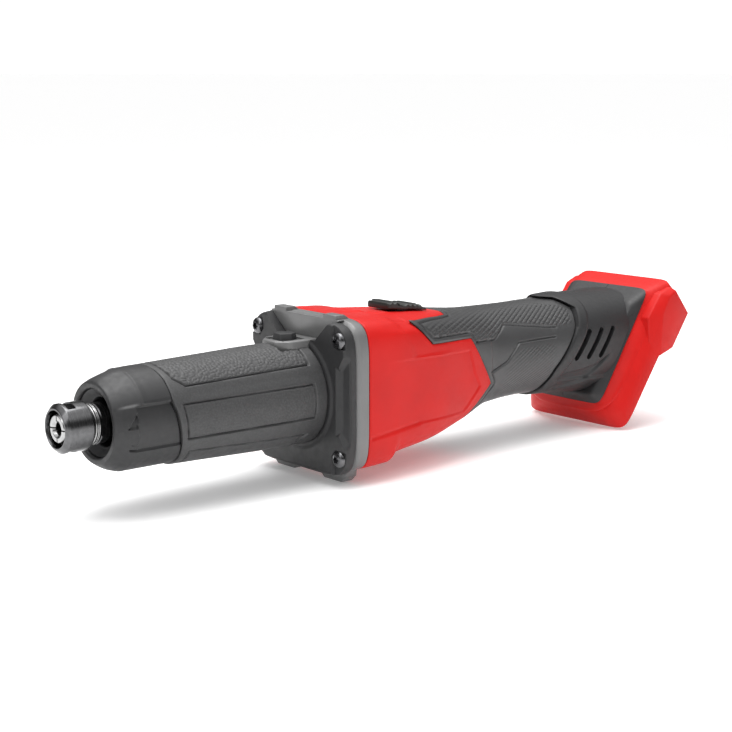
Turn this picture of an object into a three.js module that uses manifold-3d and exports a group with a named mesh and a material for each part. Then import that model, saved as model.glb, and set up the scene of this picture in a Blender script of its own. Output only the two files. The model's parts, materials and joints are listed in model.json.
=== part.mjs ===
// Cordless straight die grinder: spindle and collet at the front, barrel grip, motor housing with a slide
// switch, slim handle, and a tilted battery foot at the rear. Millimetres.
// It is drawn along its spindle: X runs from the collet face (x = 0) back to the battery foot, Z is up and
// y = 0 is the plane of symmetry. The finished group is shifted so that its origin is at the bottom centre
// of the bounding box.

import * as THREE from 'three';
import { mergeVertices } from 'three/addons/utils/BufferGeometryUtils.js';
import Module from 'manifold-3d';

const wasm = await Module();
wasm.setup();

// ---------------------------------------------------------------- driving dimensions

const GAP = 0.3; // between pieces that touch
const ROUND = 24; // facets round a large turned piece
const FINE = 14; // facets round a small turned piece
const RING = 24; // points round a lofted section

const NUT_LENGTH = 14.8;
const NUT_RADIUS = 11.8;
const COLLET_BORE = 3.05;
const SPINDLE_RADIUS = 7.4;

const NOSE_FRONT = 20;
const NOSE_REAR = 51.7;
const NOSE_OPENING = 16.4;

const TUBE_RADIUS = 22;
const TUBE_FRONT = 33.6;
const SLEEVE_REAR = 139.2;

const FLANGE_FRONT = 140;
const FLANGE_REAR = 147;
const CASTING_REAR = 155;
const TAB_HALF_WIDTH = 11;
const TAB_TOP = 28.3;
const LOCK_X = 132.5; // spindle lock button and its pin
const SCREW_Y = 33.4;
const SCREW_Z = 30;

const HOUSING_WALL = 2.7;
const HANDLE_INSET = HOUSING_WALL + GAP; // rubber and red shell both cover the handle halves
const HANDLE_WALL = 2.4;
const HANDLE_FRONT = 185.5;

const STATOR_RADIUS = 25.5;
const ROTOR_RADIUS = 12.4;
const SHAFT_RADIUS = 4;
const FAN_RADIUS = 27;

const SWITCH_SLOPE = 0.0967; // fall of the housing's top line under the slide switch
const SWITCH_FRONT = 194.5;
const SWITCH_REAR = 227.5;
const SWITCH_HALF_WIDTH = 8.5;

const FOOT_TILT = THREE.MathUtils.degToRad(35); // battery face from the vertical
const FOOT_FRONT = 289; // distances along the battery face's normal
const BORDER_TOP = 246.7; // heights along the battery face, where the black plate meets the red foot
const BORDER_BOTTOM = 171.4;
const BORDER_LEAN = 0.119; // the border leans back this much for each millimetre down the face
const FOOT_FLOOR = 300;
const FOOT_REAR = 314;
const WING_REAR = 319.8;
const BASE_Z = -45; // lowest point, under the battery foot

// Lofted sections of the body: [x, half width, top z, bottom z, squareness]
const BODY_SECTIONS = [
  [139, 40.3, 39.6, -39, 6.5],
  [155, 40.3, 39.6, -39, 6.5],
  [173, 39.6, 39.6, -38.6, 6.3],
  [178, 39.3, 39.2, -34.6, 6],
  [205, 36.5, 36.6, -32.8, 4.6],
  [236, 31, 33.6, -28.2, 3.2],
  [262, 27.6, 32, -22.2, 2.4],
  [290, 27, 32, -21.2, 2.1],
  [335, 28, 32.8, -22.6, 2.1],
];

// The front flange is a plate of one section that reaches a little lower than the casting behind it.
const FLANGE_SECTIONS = [
  [138, 40.3, 39.6, -41.2, 6],
  [160, 40.3, 39.6, -41.2, 6],
];

// The rear shroud stands a little proud of the rubber and spreads towards the battery foot.
const SHROUD_SECTIONS = [
  [296, 28.2, 33.6, -22.6, 2.1],
  [318, 28.8, 34.3, -23.4, 2.2],
  [345, 30.5, 34.6, -25, 2.5],
  [392, 31, 34.6, -25, 2.6],
];

// Side view of the rubber grip, [x, z]: its border with the red housing, then its border with the shroud.
const GRIP_OUTLINE = [
  [165, 60],
  [202.3, 22.3],
  [236, 21],
  [253, -6],
  [239, -21],
  [226, -36],
  [226, -60],
  [302, -60],
  [302, -14],
  [305.4, -5],
  [323, 18],
  [327, 28],
  [321, 33],
  [310, 33.9],
  [310, 60],
];

// Top view of the red tongue that carries the slide switch, [x, y] of its left edge.
const TONGUE_EDGE = [
  [150, 32],
  [193.5, 30],
  [221, 20.5],
  [232, 15],
  [237.5, 7],
];

// ---------------------------------------------------------------- materials

function paint(color, roughness, metalness) {
  return new THREE.MeshStandardMaterial({ color, roughness, metalness });
}

const RED = paint(0xd8262a, 0.45, 0);
const BLACK_NYLON = paint(0x2d2e30, 0.6, 0);
const RUBBER = paint(0x38393b, 0.85, 0);
const CAST_GREY = paint(0x85878a, 0.5, 0.7);
const DARK_STEEL = paint(0x3a3b3e, 0.35, 0.9);
const BRIGHT_STEEL = paint(0xb9bbbe, 0.25, 1);
const BEARING_STEEL = paint(0x9fa2a6, 0.3, 1);
const ALUMINIUM = paint(0xa7aaad, 0.4, 0.9);
const LAMINATION = paint(0x6b6d70, 0.5, 0.8);
const COPPER = paint(0xb36a3a, 0.4, 0.8);
const BRASS = paint(0xc9a24a, 0.35, 0.9);
const BOARD_GREEN = paint(0x1f5a38, 0.6, 0);
const POTTING = paint(0x202225, 0.7, 0);
const WIRE_RED = paint(0xa02020, 0.6, 0);
const WIRE_WHITE = paint(0xd8d8d4, 0.6, 0);
const WIRE_BLUE = paint(0x2a4a9a, 0.6, 0);
const WHITE_NYLON = paint(0xd5d3cc, 0.6, 0);

// ---------------------------------------------------------------- geometry helpers

// A closed geometry becomes a solid: shared vertices merged, empty triangles dropped, faces turned outwards.
function solid(geometry) {
  const bare = geometry.clone();
  for (const name of Object.keys(bare.attributes)) {
    if (name !== 'position') bare.deleteAttribute(name);
  }
  const merged = mergeVertices(bare, 1e-4);
  const points = merged.attributes.position.array;
  const index = merged.index.array;
  const triangles = [];
  let volume = 0;
  const corner = [new THREE.Vector3(), new THREE.Vector3(), new THREE.Vector3()];
  for (let i = 0; i < index.length; i += 3) {
    const [a, b, c] = [index[i], index[i + 1], index[i + 2]];
    if (a === b || b === c || c === a) continue;
    triangles.push(a, b, c);
    [a, b, c].forEach((v, k) => corner[k].fromArray(points, 3 * v));
    volume += corner[0].dot(corner[1].clone().cross(corner[2]));
  }
  if (volume < 0) triangles.reverse();
  return new wasm.Manifold(new wasm.Mesh({
    numProp: 3,
    vertProperties: new Float32Array(points),
    triVerts: new Uint32Array(triangles),
  }));
}

function geometryOf(manifold) {
  const mesh = manifold.getMesh();
  const geometry = new THREE.BufferGeometry();
  geometry.setAttribute('position', new THREE.BufferAttribute(new Float32Array(mesh.vertProperties), 3));
  geometry.setIndex(new THREE.BufferAttribute(new Uint32Array(mesh.triVerts), 1));
  geometry.computeVertexNormals();
  return geometry;
}

const join = (first, ...others) => others.reduce((sum, piece) => sum.add(piece), first);
const cut = (first, ...others) => others.reduce((rest, piece) => rest.subtract(piece), first);

// Profile points [x, r], closed on itself or ending on the axis, turned about the X axis.
function turned(profile, segments = ROUND) {
  const points = profile.map(([x, r]) => new THREE.Vector2(r, x));
  const closesOnAxis = profile[0][1] === 0 && profile[profile.length - 1][1] === 0;
  if (!closesOnAxis) points.push(points[0].clone());
  return solid(new THREE.LatheGeometry(points, segments).rotateZ(-Math.PI / 2));
}

// A ring of rectangular section from x0 to x1, or a disc where inner is 0.
const ring = (x0, x1, inner, outer, segments = FINE) => turned(
  inner > 0
    ? [[x0, inner], [x1, inner], [x1, outer], [x0, outer]]
    : [[x0, 0], [x0, outer], [x1, outer], [x1, 0]],
  segments,
);

function boxGeometry([x0, x1], [y0, y1], [z0, z1]) {
  const box = new THREE.BoxGeometry(x1 - x0, y1 - y0, z1 - z0);
  return box.translate((x0 + x1) / 2, (y0 + y1) / 2, (z0 + z1) / 2);
}

const block = (x, y, z) => solid(boxGeometry(x, y, z));

const shapeOf = (outline) => new THREE.Shape(outline.map(([u, v]) => new THREE.Vector2(u, v)));

function extrusion(shape, from, to, curveSegments = 6) {
  const geometry = new THREE.ExtrudeGeometry(shape, { depth: to - from, bevelEnabled: false, curveSegments });
  return geometry.translate(0, 0, from);
}

// Axes of an extrusion: shape (u, v) and depth w become (y, z) and x, or (x, z) and y.
const ALONG_X = new THREE.Matrix4().makeBasis(
  new THREE.Vector3(0, 1, 0), new THREE.Vector3(0, 0, 1), new THREE.Vector3(1, 0, 0));
const ALONG_Y = new THREE.Matrix4().makeBasis(
  new THREE.Vector3(1, 0, 0), new THREE.Vector3(0, 0, 1), new THREE.Vector3(0, 1, 0));

const extrudedAlongX = (shape, from, to) => solid(extrusion(shape, from, to).applyMatrix4(ALONG_X));
const extrudedAlongY = (shape, from, to) => solid(extrusion(shape, from, to).applyMatrix4(ALONG_Y));

// Closed rings of equally many points, skinned in order, with flat ends.
function loft(rings) {
  const count = rings[0].length;
  const points = rings.flat();
  const faces = [];
  for (let r = 0; r < rings.length - 1; r += 1) {
    for (let i = 0; i < count; i += 1) {
      const a = r * count + i;
      const b = r * count + (i + 1) % count;
      faces.push(a, b, b + count, a, b + count, a + count);
    }
  }
  for (const [r, turn] of [[0, 1], [rings.length - 1, -1]]) {
    const centre = rings[r].reduce((sum, p) => sum.add(p), new THREE.Vector3()).divideScalar(count);
    points.push(centre);
    for (let i = 0; i < count; i += 1) {
      const a = r * count + i;
      const b = r * count + (i + 1) % count;
      faces.push(points.length - 1, turn > 0 ? b : a, turn > 0 ? a : b);
    }
  }
  const geometry = new THREE.BufferGeometry();
  geometry.setAttribute('position', new THREE.Float32BufferAttribute(points.flatMap((p) => p.toArray()), 3));
  geometry.setIndex(faces);
  return solid(geometry);
}

// Point of a squared oval: half sizes a and b, squareness n (2 is an ellipse, high is a rectangle).
function squaredOval(a, b, n, angle) {
  const c = Math.cos(angle);
  const s = Math.sin(angle);
  return [a * Math.sign(c) * Math.abs(c) ** (2 / n), b * Math.sign(s) * Math.abs(s) ** (2 / n)];
}

const anglesRound = (count) => Array.from({ length: count }, (_, i) => (i + 0.5) * 2 * Math.PI / count);
const ringAngles = anglesRound(RING);
const innerAngles = anglesRound(12);

function sectionAt(x, sections) {
  const after = sections.findIndex((section) => section[0] >= x);
  const [low, high] = [sections[Math.max(after - 1, 0)], sections[after]];
  const share = high[0] === low[0] ? 0 : (x - low[0]) / (high[0] - low[0]);
  return low.map((value, i) => THREE.MathUtils.lerp(value, high[i], share));
}

// The body's lofted form from x0 to x1, its surface moved in by inset.
function bodyForm(x0, x1, inset, sections = BODY_SECTIONS, angles = ringAngles) {
  const between = sections.map((section) => section[0]).filter((x) => x > x0 + 0.01 && x < x1 - 0.01);
  return loft([x0, ...between, x1].map((station) => {
    const [x, halfWidth, top, bottom, squareness] = sectionAt(station, sections);
    return angles.map((angle) => {
      const [y, z] = squaredOval(halfWidth - inset, (top - bottom) / 2 - inset, squareness, angle);
      return new THREE.Vector3(x, y, (top + bottom) / 2 + z);
    });
  }));
}

const topLine = (x) => sectionAt(x, BODY_SECTIONS)[2];

// Move a closed outline outwards by distance, corner by corner.
function offsetOutline(outline, distance) {
  const area = outline.reduce((sum, [u, v], i) => {
    const [p, q] = outline[(i + 1) % outline.length];
    return sum + u * q - p * v;
  }, 0);
  const outward = distance * Math.sign(area);
  return outline.map(([u, v], i) => {
    const before = outline[(i + outline.length - 1) % outline.length];
    const after = outline[(i + 1) % outline.length];
    const arriving = new THREE.Vector2(u - before[0], v - before[1]).normalize();
    const leaving = new THREE.Vector2(after[0] - u, after[1] - v).normalize();
    const bisector = new THREE.Vector2(arriving.y + leaving.y, -arriving.x - leaving.x);
    const scale = outward / (1 + arriving.dot(leaving));
    return [u + bisector.x * scale, v + bisector.y * scale];
  });
}

// The battery foot is drawn in its own axes: n square to the battery face, y, and t up along the face.
const inFoot = (geometry) => geometry.rotateY(FOOT_TILT);
const footBlock = (n, y, t) => solid(inFoot(boxGeometry(n, y, t)));

function footPoint(n, y, t) {
  return new THREE.Vector3(n, y, t).applyAxisAngle(new THREE.Vector3(0, 1, 0), FOOT_TILT);
}

// An outline of [n, t] points extruded across the foot from y0 to y1.
function footProfile(outline, y0, y1) {
  return solid(inFoot(extrusion(shapeOf(outline), y0, y1).applyMatrix4(ALONG_Y)));
}

// Place a solid turned about X, as with bolts and lugs off the axis.
const moved = (piece, x, y, z) => piece.translate([x, y, z]);

const model = new THREE.Group();

function add(name, piece, material) {
  const mesh = new THREE.Mesh(geometryOf(piece), material);
  mesh.name = name;
  model.add(mesh);
}

// A rod along Y or Z, such as a screw's shank or the hole for it.
function rodAlongY(x, z, radius, y0, y1) {
  const rod = new THREE.CylinderGeometry(radius, radius, y1 - y0, 8);
  return solid(rod.translate(x, (y0 + y1) / 2, z));
}

function rodAlongZ(x, y, radius, z0, z1) {
  const rod = new THREE.CylinderGeometry(radius, radius, z1 - z0, 8).rotateX(Math.PI / 2);
  return solid(rod.translate(x, y, (z0 + z1) / 2));
}

const rodAlongX = (y, z, radius, x0, x1) => moved(ring(x0, x1, 0, radius, 8), 0, y, z);

// A round wire through the given points.
function wire(points, radius, steps, sides) {
  const path = new THREE.CatmullRomCurve3(points);
  const section = new THREE.Shape();
  section.absarc(0, 0, radius, 0, 2 * Math.PI, false);
  const options = { steps, bevelEnabled: false, extrudePath: path, curveSegments: sides / 2 };
  return solid(new THREE.ExtrudeGeometry(section, options));
}

// A compression spring: start is the centre of its fixed end, direction points along its axis.
function coilSpring(start, direction, length, radius, wireRadius, turns) {
  const along = direction.clone().normalize();
  const across = new THREE.Vector3(0, 1, 0);
  const third = along.clone().cross(across);
  const count = turns * 9;
  const points = Array.from({ length: count + 1 }, (_, i) => {
    const angle = 2 * Math.PI * turns * i / count;
    return start.clone()
      .addScaledVector(along, wireRadius + (length - 2 * wireRadius) * i / count)
      .addScaledVector(across, radius * Math.cos(angle))
      .addScaledVector(third, radius * Math.sin(angle));
  });
  return wire(points, wireRadius, count, 4);
}

const SIDES = [['left', -1], ['right', 1]]; // y signs of the two handle halves

// ---------------------------------------------------------------- collet, spindle and its bearings

function colletNut() {
  const flat = { from: 3.4, to: 7.8, height: 10.7 };
  const body = turned([
    [0, 9.6], [0.6, 10.6], [2, NUT_RADIUS], [NUT_LENGTH - 0.8, NUT_RADIUS], [NUT_LENGTH, NUT_RADIUS - 0.8],
    [NUT_LENGTH, 8.8], [1.6, 8.5], [0, 8.7],
  ]);
  const flats = [-1, 1].map((side) => block(
    [flat.from, flat.to], [-NUT_RADIUS, NUT_RADIUS],
    side > 0 ? [flat.height, NUT_RADIUS + 1] : [-NUT_RADIUS - 1, -flat.height]));
  return cut(body, ...flats);
}

function collet() {
  const halfSlot = 0.35;
  const body = turned([
    [0.8, COLLET_BORE + 1], [2, COLLET_BORE], [26, COLLET_BORE], [26, 4.3], [12, 5.2], [5, 7.3], [2.2, 7.3],
    [0.8, 6.4],
  ], FINE);
  const slots = [
    block([0, 17], [-9, 9], [-halfSlot, halfSlot]),
    block([0, 17], [-halfSlot, halfSlot], [-9, 9]),
  ];
  return cut(body, ...slots);
}

// The spindle's nose is a taper socket for the collet; its rear end enters the coupling.
function spindle() {
  const flatHalfWidth = 8.9;
  const body = turned([
    [8.5, 6.75], [12, 5.5], [26.3, 4.6], [26.3, 0], [133.6, 0], [133.6, 4.9], [126.6, 4.9], [126.6, 5.9],
    [117.7, 5.9], [117.7, SPINDLE_RADIUS], [35.7, SPINDLE_RADIUS], [35.7, 9.85], [19.3, 9.85], [19.3, 8.2],
    [8.5, 8.2],
  ]);
  const flats = [-1, 1].map((side) => block(
    [19, 27.5], side > 0 ? [flatHalfWidth, 12] : [-12, -flatHalfWidth], [-12, 12]));
  return cut(body, ...flats);
}

// Deep groove ball bearing as three pieces: outer race, inner race, and the balls held in their cage.
function bearing(name, x0, width, bore, outer, balls) {
  const middle = (bore + outer) / 2;
  const centre = x0 + width / 2;
  const ballRadius = (outer - bore) * 0.2;
  const groove = ballRadius + 0.5;
  const shoulder = groove / 2;
  const track = [-60, 0, 60].map((degrees) => {
    const angle = THREE.MathUtils.degToRad(degrees);
    return [centre + groove * Math.sin(angle), groove * Math.cos(angle)];
  });
  add(`${name}_outer_race`, turned([
    [x0, middle + shoulder], ...track.map(([x, r]) => [x, middle + r]), [x0 + width, middle + shoulder],
    [x0 + width, outer], [x0, outer],
  ], FINE), BEARING_STEEL);
  add(`${name}_inner_race`, turned([
    [x0, middle - shoulder], ...track.map(([x, r]) => [x, middle - r]), [x0 + width, middle - shoulder],
    [x0 + width, bore], [x0, bore],
  ], FINE), BEARING_STEEL);
  const cage = ring(centre - 0.6, centre + 0.6, middle - 0.5, middle + 0.5, FINE);
  const spheres = Array.from({ length: balls }, (_, i) => {
    const angle = i * 2 * Math.PI / balls;
    const ball = new THREE.SphereGeometry(ballRadius, 5, 4);
    return solid(ball.translate(centre, middle * Math.cos(angle), middle * Math.sin(angle)));
  });
  add(`${name}_balls`, join(cage, ...spheres), BEARING_STEEL);
}

add('collet_nut', colletNut(), DARK_STEEL);
add('collet', collet(), BRIGHT_STEEL);
add('spindle', spindle(), DARK_STEEL);
add('spindle_collar', ring(15.5, 19, 8.5, 10, ROUND), BRIGHT_STEEL);
bearing('spindle_front_bearing', 36, 9, SPINDLE_RADIUS + 0.2, 16, 7);
bearing('spindle_rear_bearing', 118, 8, 6.1, 14, 6);

// ---------------------------------------------------------------- nose, barrel grip and spindle tube

const noseInside = TUBE_RADIUS - 1.2;

add('dust_seal', turned([
  [21.8, 16.1], [25.6, 11.8], [31.6, 11.6], [32.4, 10.3], [35.2, 10.3], [35.2, 15.9], [33.2, 15.9],
  [33, 16.1],
]), BLACK_NYLON);

add('nose_cap', turned([
  [NOSE_FRONT, NOSE_OPENING], [NOSE_FRONT, 18.8], [20.6, 19.8], [24, 21.6], [29, 23.3], [34, 24.2],
  [40, 24.7], [NOSE_REAR, 25], [NOSE_REAR, noseInside], [TUBE_FRONT - GAP, noseInside],
  [TUBE_FRONT - GAP, NOSE_OPENING + 0.6],
]), BLACK_NYLON);

// Machined tube with a bearing seat at each end; the lock pin and its spring drop in from above.
function spindleTube() {
  const body = turned([
    [TUBE_FRONT, 16.3], [45.3, 16.3], [45.3, 13.2], [117.6, 13.2], [117.6, 14.3], [139.5, 14.3],
    [139.5, 14.8], [FLANGE_REAR - 0.1, 14.8], [FLANGE_REAR - 0.1, TUBE_RADIUS],
    [NOSE_REAR + GAP, TUBE_RADIUS], [NOSE_REAR + GAP, noseInside - GAP], [TUBE_FRONT, noseInside - GAP],
  ]);
  const springPocket = block([124.8, FLANGE_FRONT + 1], [-8.2, 8.2], [17.5, 30]);
  return cut(body, springPocket, rodAlongZ(LOCK_X, 0, 2.4, 10, 20));
}

add('spindle_tube', spindleTube(), ALUMINIUM);

function gripSleeve() {
  const body = turned([
    [52, 24.9], [52.6, 25.1], [80, 25.8], [107, 26.6], [131, 26.9], [SLEEVE_REAR, 27],
    [SLEEVE_REAR, TUBE_RADIUS + GAP], [52, TUBE_RADIUS + GAP],
  ]);
  return cut(body, block([121.4, 140], [-TAB_HALF_WIDTH - 0.6, TAB_HALF_WIDTH + 0.6], [15, 40]));
}

add('grip_sleeve', gripSleeve(), RUBBER);

// ---------------------------------------------------------------- front flange and cast front housing

const screwPlaces = [
  [-SCREW_Y, SCREW_Z],
  [SCREW_Y, SCREW_Z],
  [-SCREW_Y, -SCREW_Z],
  [SCREW_Y, -SCREW_Z],
];
const screwHoles = (radius, x0, x1) => screwPlaces.map(([y, z]) => rodAlongX(y, z, radius, x0, x1));

// Side view of the lug on each side of the V, [x, z], and front view of the foot under it, [y, z].
const LUG_OUTLINE = [[145, 34], [145, 41.6], [151.2, 41.6], [CASTING_REAR, 38.8], [CASTING_REAR, 34]];
const FOOT_OUTLINE = [[8, -36], [8.6, -41], [12.4, -44.6], [26.8, -44.6], [30.6, -41], [31.2, -36]];

// The V cut in the top of the flange, as a (y, z) outline.
const veeOutline = [[-15, 28], [15, 28], [29, 41], [-29, 41]];

function frontFlange() {
  const plate = bodyForm(FLANGE_FRONT, FLANGE_REAR, 0.6, FLANGE_SECTIONS);
  const collar = turned([
    [SLEEVE_REAR + GAP, 0], [SLEEVE_REAR + GAP, 28], [FLANGE_FRONT + 1, 29.8], [FLANGE_FRONT + 1, 0],
  ]);
  // The rim steps back between the screw bosses: (x, |y|) sections up the height of the plate.
  const stepEnd = [[-1, 39.6], [0.2, 40], [0.3, 40.3], [0.3, 42], [-1, 42]];
  const stepMiddle = [[-1, 31.2], [2.1, 35.2], [3.3, 39.9], [3.3, 42], [-1, 42]];
  const sideSteps = [-1, 1].map((side) => loft(
    [[-25, stepEnd], [-15.5, stepMiddle], [15.5, stepMiddle], [25, stepEnd]].map(([z, section]) => (
      section.map(([x, y]) => new THREE.Vector3(FLANGE_FRONT + x, side * y, z))))));
  return cut(
    join(plate, collar),
    ...sideSteps,
    ring(SLEEVE_REAR - 1, FLANGE_REAR + 1, 0, TUBE_RADIUS + GAP, ROUND),
    extrudedAlongX(shapeOf(veeOutline), SLEEVE_REAR, FLANGE_REAR + 1),
    block([SLEEVE_REAR, FLANGE_REAR + 1], [-TAB_HALF_WIDTH - GAP, TAB_HALF_WIDTH + GAP], [15, 30]),
    ...screwHoles(2.3, FLANGE_FRONT - 4, FLANGE_REAR + 1),
    ...screwHoles(5.6, FLANGE_FRONT - 4, FLANGE_FRONT + 1.2),
  );
}

add('front_flange', frontFlange(), BLACK_NYLON);

function tabOutline() {
  const tab = new THREE.Shape();
  tab.moveTo(FLANGE_REAR + 2, -TAB_HALF_WIDTH);
  tab.lineTo(FLANGE_REAR + 2, TAB_HALF_WIDTH);
  tab.lineTo(128, TAB_HALF_WIDTH);
  tab.lineTo(122, 6);
  tab.lineTo(122, -6);
  tab.lineTo(128, -TAB_HALF_WIDTH);
  return tab;
}

// Visible grey band behind the flange, with the tab over the barrel, the top ribs and the lower feet.
function frontHousing() {
  const veeInside = (x0, x1) => extrudedAlongX(shapeOf(offsetOutline(veeOutline, -GAP)), x0, x1);
  const lugs = [-1, 1].map((side) => extrudedAlongY(
    shapeOf(LUG_OUTLINE), Math.min(side * 15.3, side * 25.4), Math.max(side * 15.3, side * 25.4)));
  const feet = [-1, 1].map((side) => extrudedAlongX(
    shapeOf(FOOT_OUTLINE.map(([y, z]) => [side * y, z])), FLANGE_REAR + GAP, CASTING_REAR));
  const flangeRoom = cut(
    bodyForm(FLANGE_FRONT, FLANGE_REAR + GAP, 0.3, FLANGE_SECTIONS), veeInside(139, FLANGE_REAR + 1));
  const vee = veeInside(145, FLANGE_REAR + 1).intersect(block([144, 150], [-30, 30], [20, 39.4]));
  const tab = solid(extrusion(tabOutline(), 22.4, TAB_TOP));
  const boss = ring(FLANGE_FRONT + GAP, 151, 0, 14.5, ROUND);
  const body = join(
    bodyForm(FLANGE_REAR + GAP, CASTING_REAR, 0),
    cut(join(...lugs), flangeRoom),
    ...feet, vee, tab, boss,
  );
  return cut(
    body,
    bodyForm(150.4, CASTING_REAR, 4),
    ring(FLANGE_FRONT, 150.4, 0, 9),
    ring(141.7, 160, 0, 11.3),
    block([125.6, 139.6], [-7.8, 7.8], [20, 40]),
    ...screwHoles(2.3, 140, CASTING_REAR + 1),
  );
}

add('front_housing', frontHousing(), CAST_GREY);

// Button-head screw with a six-lobed recess.
function flangeScrew(y, z) {
  const head = FLANGE_FRONT + 1.1;
  const body = turned([
    [head - 2.6, 0], [head - 2.5, 1.6], [head - 1.7, 3.4], [head - 0.4, 4.4], [head, 4.4], [head, 2],
    [172, 2], [172, 0],
  ], 14);
  const lobes = new THREE.Shape(Array.from({ length: 12 }, (_, i) => {
    const angle = i * Math.PI / 6;
    const radius = 1.75 + 0.35 * Math.cos(6 * angle);
    return new THREE.Vector2(radius * Math.cos(angle), radius * Math.sin(angle));
  }));
  return moved(cut(body, extrudedAlongX(lobes, head - 4, head - 0.6)), 0, y, z);
}

screwPlaces.forEach(([y, z], i) => add(`flange_screw_${i + 1}`, flangeScrew(y, z), DARK_STEEL));

// ---------------------------------------------------------------- spindle lock

function lockButton() {
  const cap = solid(new THREE.CylinderGeometry(6.2, 7.2, 4, 6).rotateX(Math.PI / 2).rotateZ(Math.PI / 2)
    .scale(0.93, 1, 1).translate(LOCK_X, 0, 29.4));
  const base = block([126, 139.2], [-7.4, 7.4], [24.6, 28]);
  return join(base, cap);
}

add('lock_button', lockButton(), BLACK_NYLON);
add('lock_pin', rodAlongZ(LOCK_X, 0, 2, 11.9, 24.3), BRIGHT_STEEL);
add('lock_spring', coilSpring(
  new THREE.Vector3(LOCK_X, 0, 17.7), new THREE.Vector3(0, 0, 1), 6.6, 3.3, 0.45, 3), BRIGHT_STEEL);

// ---------------------------------------------------------------- motor and drive

// The coupling's four cross holes are where the lock pin enters.
function driveCoupling() {
  const body = turned([
    [128.5, 5.2], [133.9, 5.2], [133.9, SHAFT_RADIUS + GAP], [138.8, SHAFT_RADIUS + GAP], [138.8, 11],
    [128.5, 11],
  ], FINE);
  const depth = 8.2;
  const holes = [[depth, 12], [-12, -depth]].flatMap(([from, to]) => [
    rodAlongZ(LOCK_X, 0, 2.5, from, to),
    rodAlongY(LOCK_X, 0, 2.5, from, to),
  ]);
  return cut(body, ...holes);
}

function coolingFan() {
  const hub = ring(152.4, 161, SHAFT_RADIUS + GAP, 8);
  const plate = ring(159.6, 161, 7, FAN_RADIUS, ROUND);
  const blades = Array.from({ length: 11 }, (_, i) => {
    const blade = boxGeometry([152.4, 160.2], [7, FAN_RADIUS - 0.6], [-0.6, 0.6]);
    return solid(blade.translate(0, 0, 3).rotateX(i * 2 * Math.PI / 11));
  });
  return join(hub, plate, ...blades);
}

const slotAngles = Array.from({ length: 6 }, (_, i) => i * Math.PI / 3);

function coreSlots(x0, x1, margin) {
  return slotAngles.map((angle) => {
    const slot = boxGeometry([x0, x1], [15.6 - margin, 21.4 + margin], [-4 - margin, 4 + margin]);
    return solid(slot.rotateX(angle));
  });
}

function statorCore() {
  return cut(ring(168, 198, ROTOR_RADIUS + 0.6, STATOR_RADIUS, ROUND), ...coreSlots(160, 206, GAP));
}

function statorWindings() {
  return join(ring(163.5, 167.7, 15.6, 21.4), ring(198.3, 202.5, 15.6, 21.4), ...coreSlots(165, 201, 0));
}

function bearingHolder() {
  const spokes = [45, 135, 225, 315].map((degrees) => {
    const spoke = boxGeometry([207, 213], [12, 24], [-2.5, 2.5]);
    return solid(spoke.rotateX(THREE.MathUtils.degToRad(degrees)));
  });
  const hub = cut(ring(206.2, 216, 0, 14), ring(206.7, 214.3, 0, 11.3), ring(200, 208, 0, 9.5));
  return join(hub, ring(207, 213, 23, 25.8, ROUND), ...spokes);
}

add('drive_coupling', driveCoupling(), DARK_STEEL);
add('rotor_shaft', ring(134.2, 214.2, 0, SHAFT_RADIUS), BRIGHT_STEEL);
add('rotor_core', ring(167, 199, SHAFT_RADIUS + GAP, ROTOR_RADIUS), LAMINATION);
add('cooling_fan', coolingFan(), BLACK_NYLON);
bearing('rotor_front_bearing', 142.4, 7, SHAFT_RADIUS + 0.2, 11, 6);
bearing('rotor_rear_bearing', 207, 7, SHAFT_RADIUS + 0.2, 11, 6);
add('stator_core', statorCore(), LAMINATION);
add('stator_windings', statorWindings(), COPPER);
add('hall_sensor_board', ring(203, 204.6, 9, 14.8), BOARD_GREEN);
add('bearing_holder', bearingHolder(), BLACK_NYLON);

// ---------------------------------------------------------------- red motor housing

function tonguePrism(margin) {
  const outline = [...TONGUE_EDGE, ...TONGUE_EDGE.map(([x, y]) => [x, -y]).reverse()];
  return solid(extrusion(shapeOf(offsetOutline(outline, margin)), 28, 60));
}

// Everything inside the rubber grip's outline, grown by a margin.
function gripPrism(margin) {
  const sideView = extrudedAlongY(shapeOf(offsetOutline(GRIP_OUTLINE, margin)), -60, 60);
  return cut(sideView, tonguePrism(-margin));
}

const switchSlot = () => block([195.5, 213], [-5, 5], [25, 60]);

function motorHousing() {
  const front = CASTING_REAR + GAP;
  const shell = cut(bodyForm(front, 262, 0), bodyForm(front - 1, 263, HOUSING_WALL));
  const bosses = screwPlaces.map(([y, z]) => rodAlongX(y, z, 4.6, front, 174));
  const statorRibs = [170, 179].map((x) => cut(
    bodyForm(x, x + 3, HOUSING_WALL - 0.7), ring(x - 1, x + 4, 0, STATOR_RADIUS + GAP, ROUND)));
  return cut(
    join(shell, ...statorRibs, ...bosses.map((boss) => boss.intersect(bodyForm(front, 176, 0.5)))),
    gripPrism(GAP), switchSlot(), ...screwHoles(2.3, 150, 173),
  );
}

add('motor_housing', motorHousing(), RED);

// ---------------------------------------------------------------- handle

const handleScrews = [[256, 20], [300, 21], [334, -13], [352, 19]];

// A ring of the tilted foot. It narrows from its top to its bottom, and leans with the border.
function footRing({ depth, low, high, narrow, wide, lean = BORDER_LEAN }) {
  return ringAngles.map((angle) => {
    const [across, up] = squaredOval(1, (high - low) / 2, 7, angle);
    const t = (high + low) / 2 + up;
    const halfWidth = THREE.MathUtils.mapLinear(t, low, high, narrow, wide);
    return footPoint(depth + lean * (BORDER_TOP - t), across * halfWidth, t);
  });
}

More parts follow.
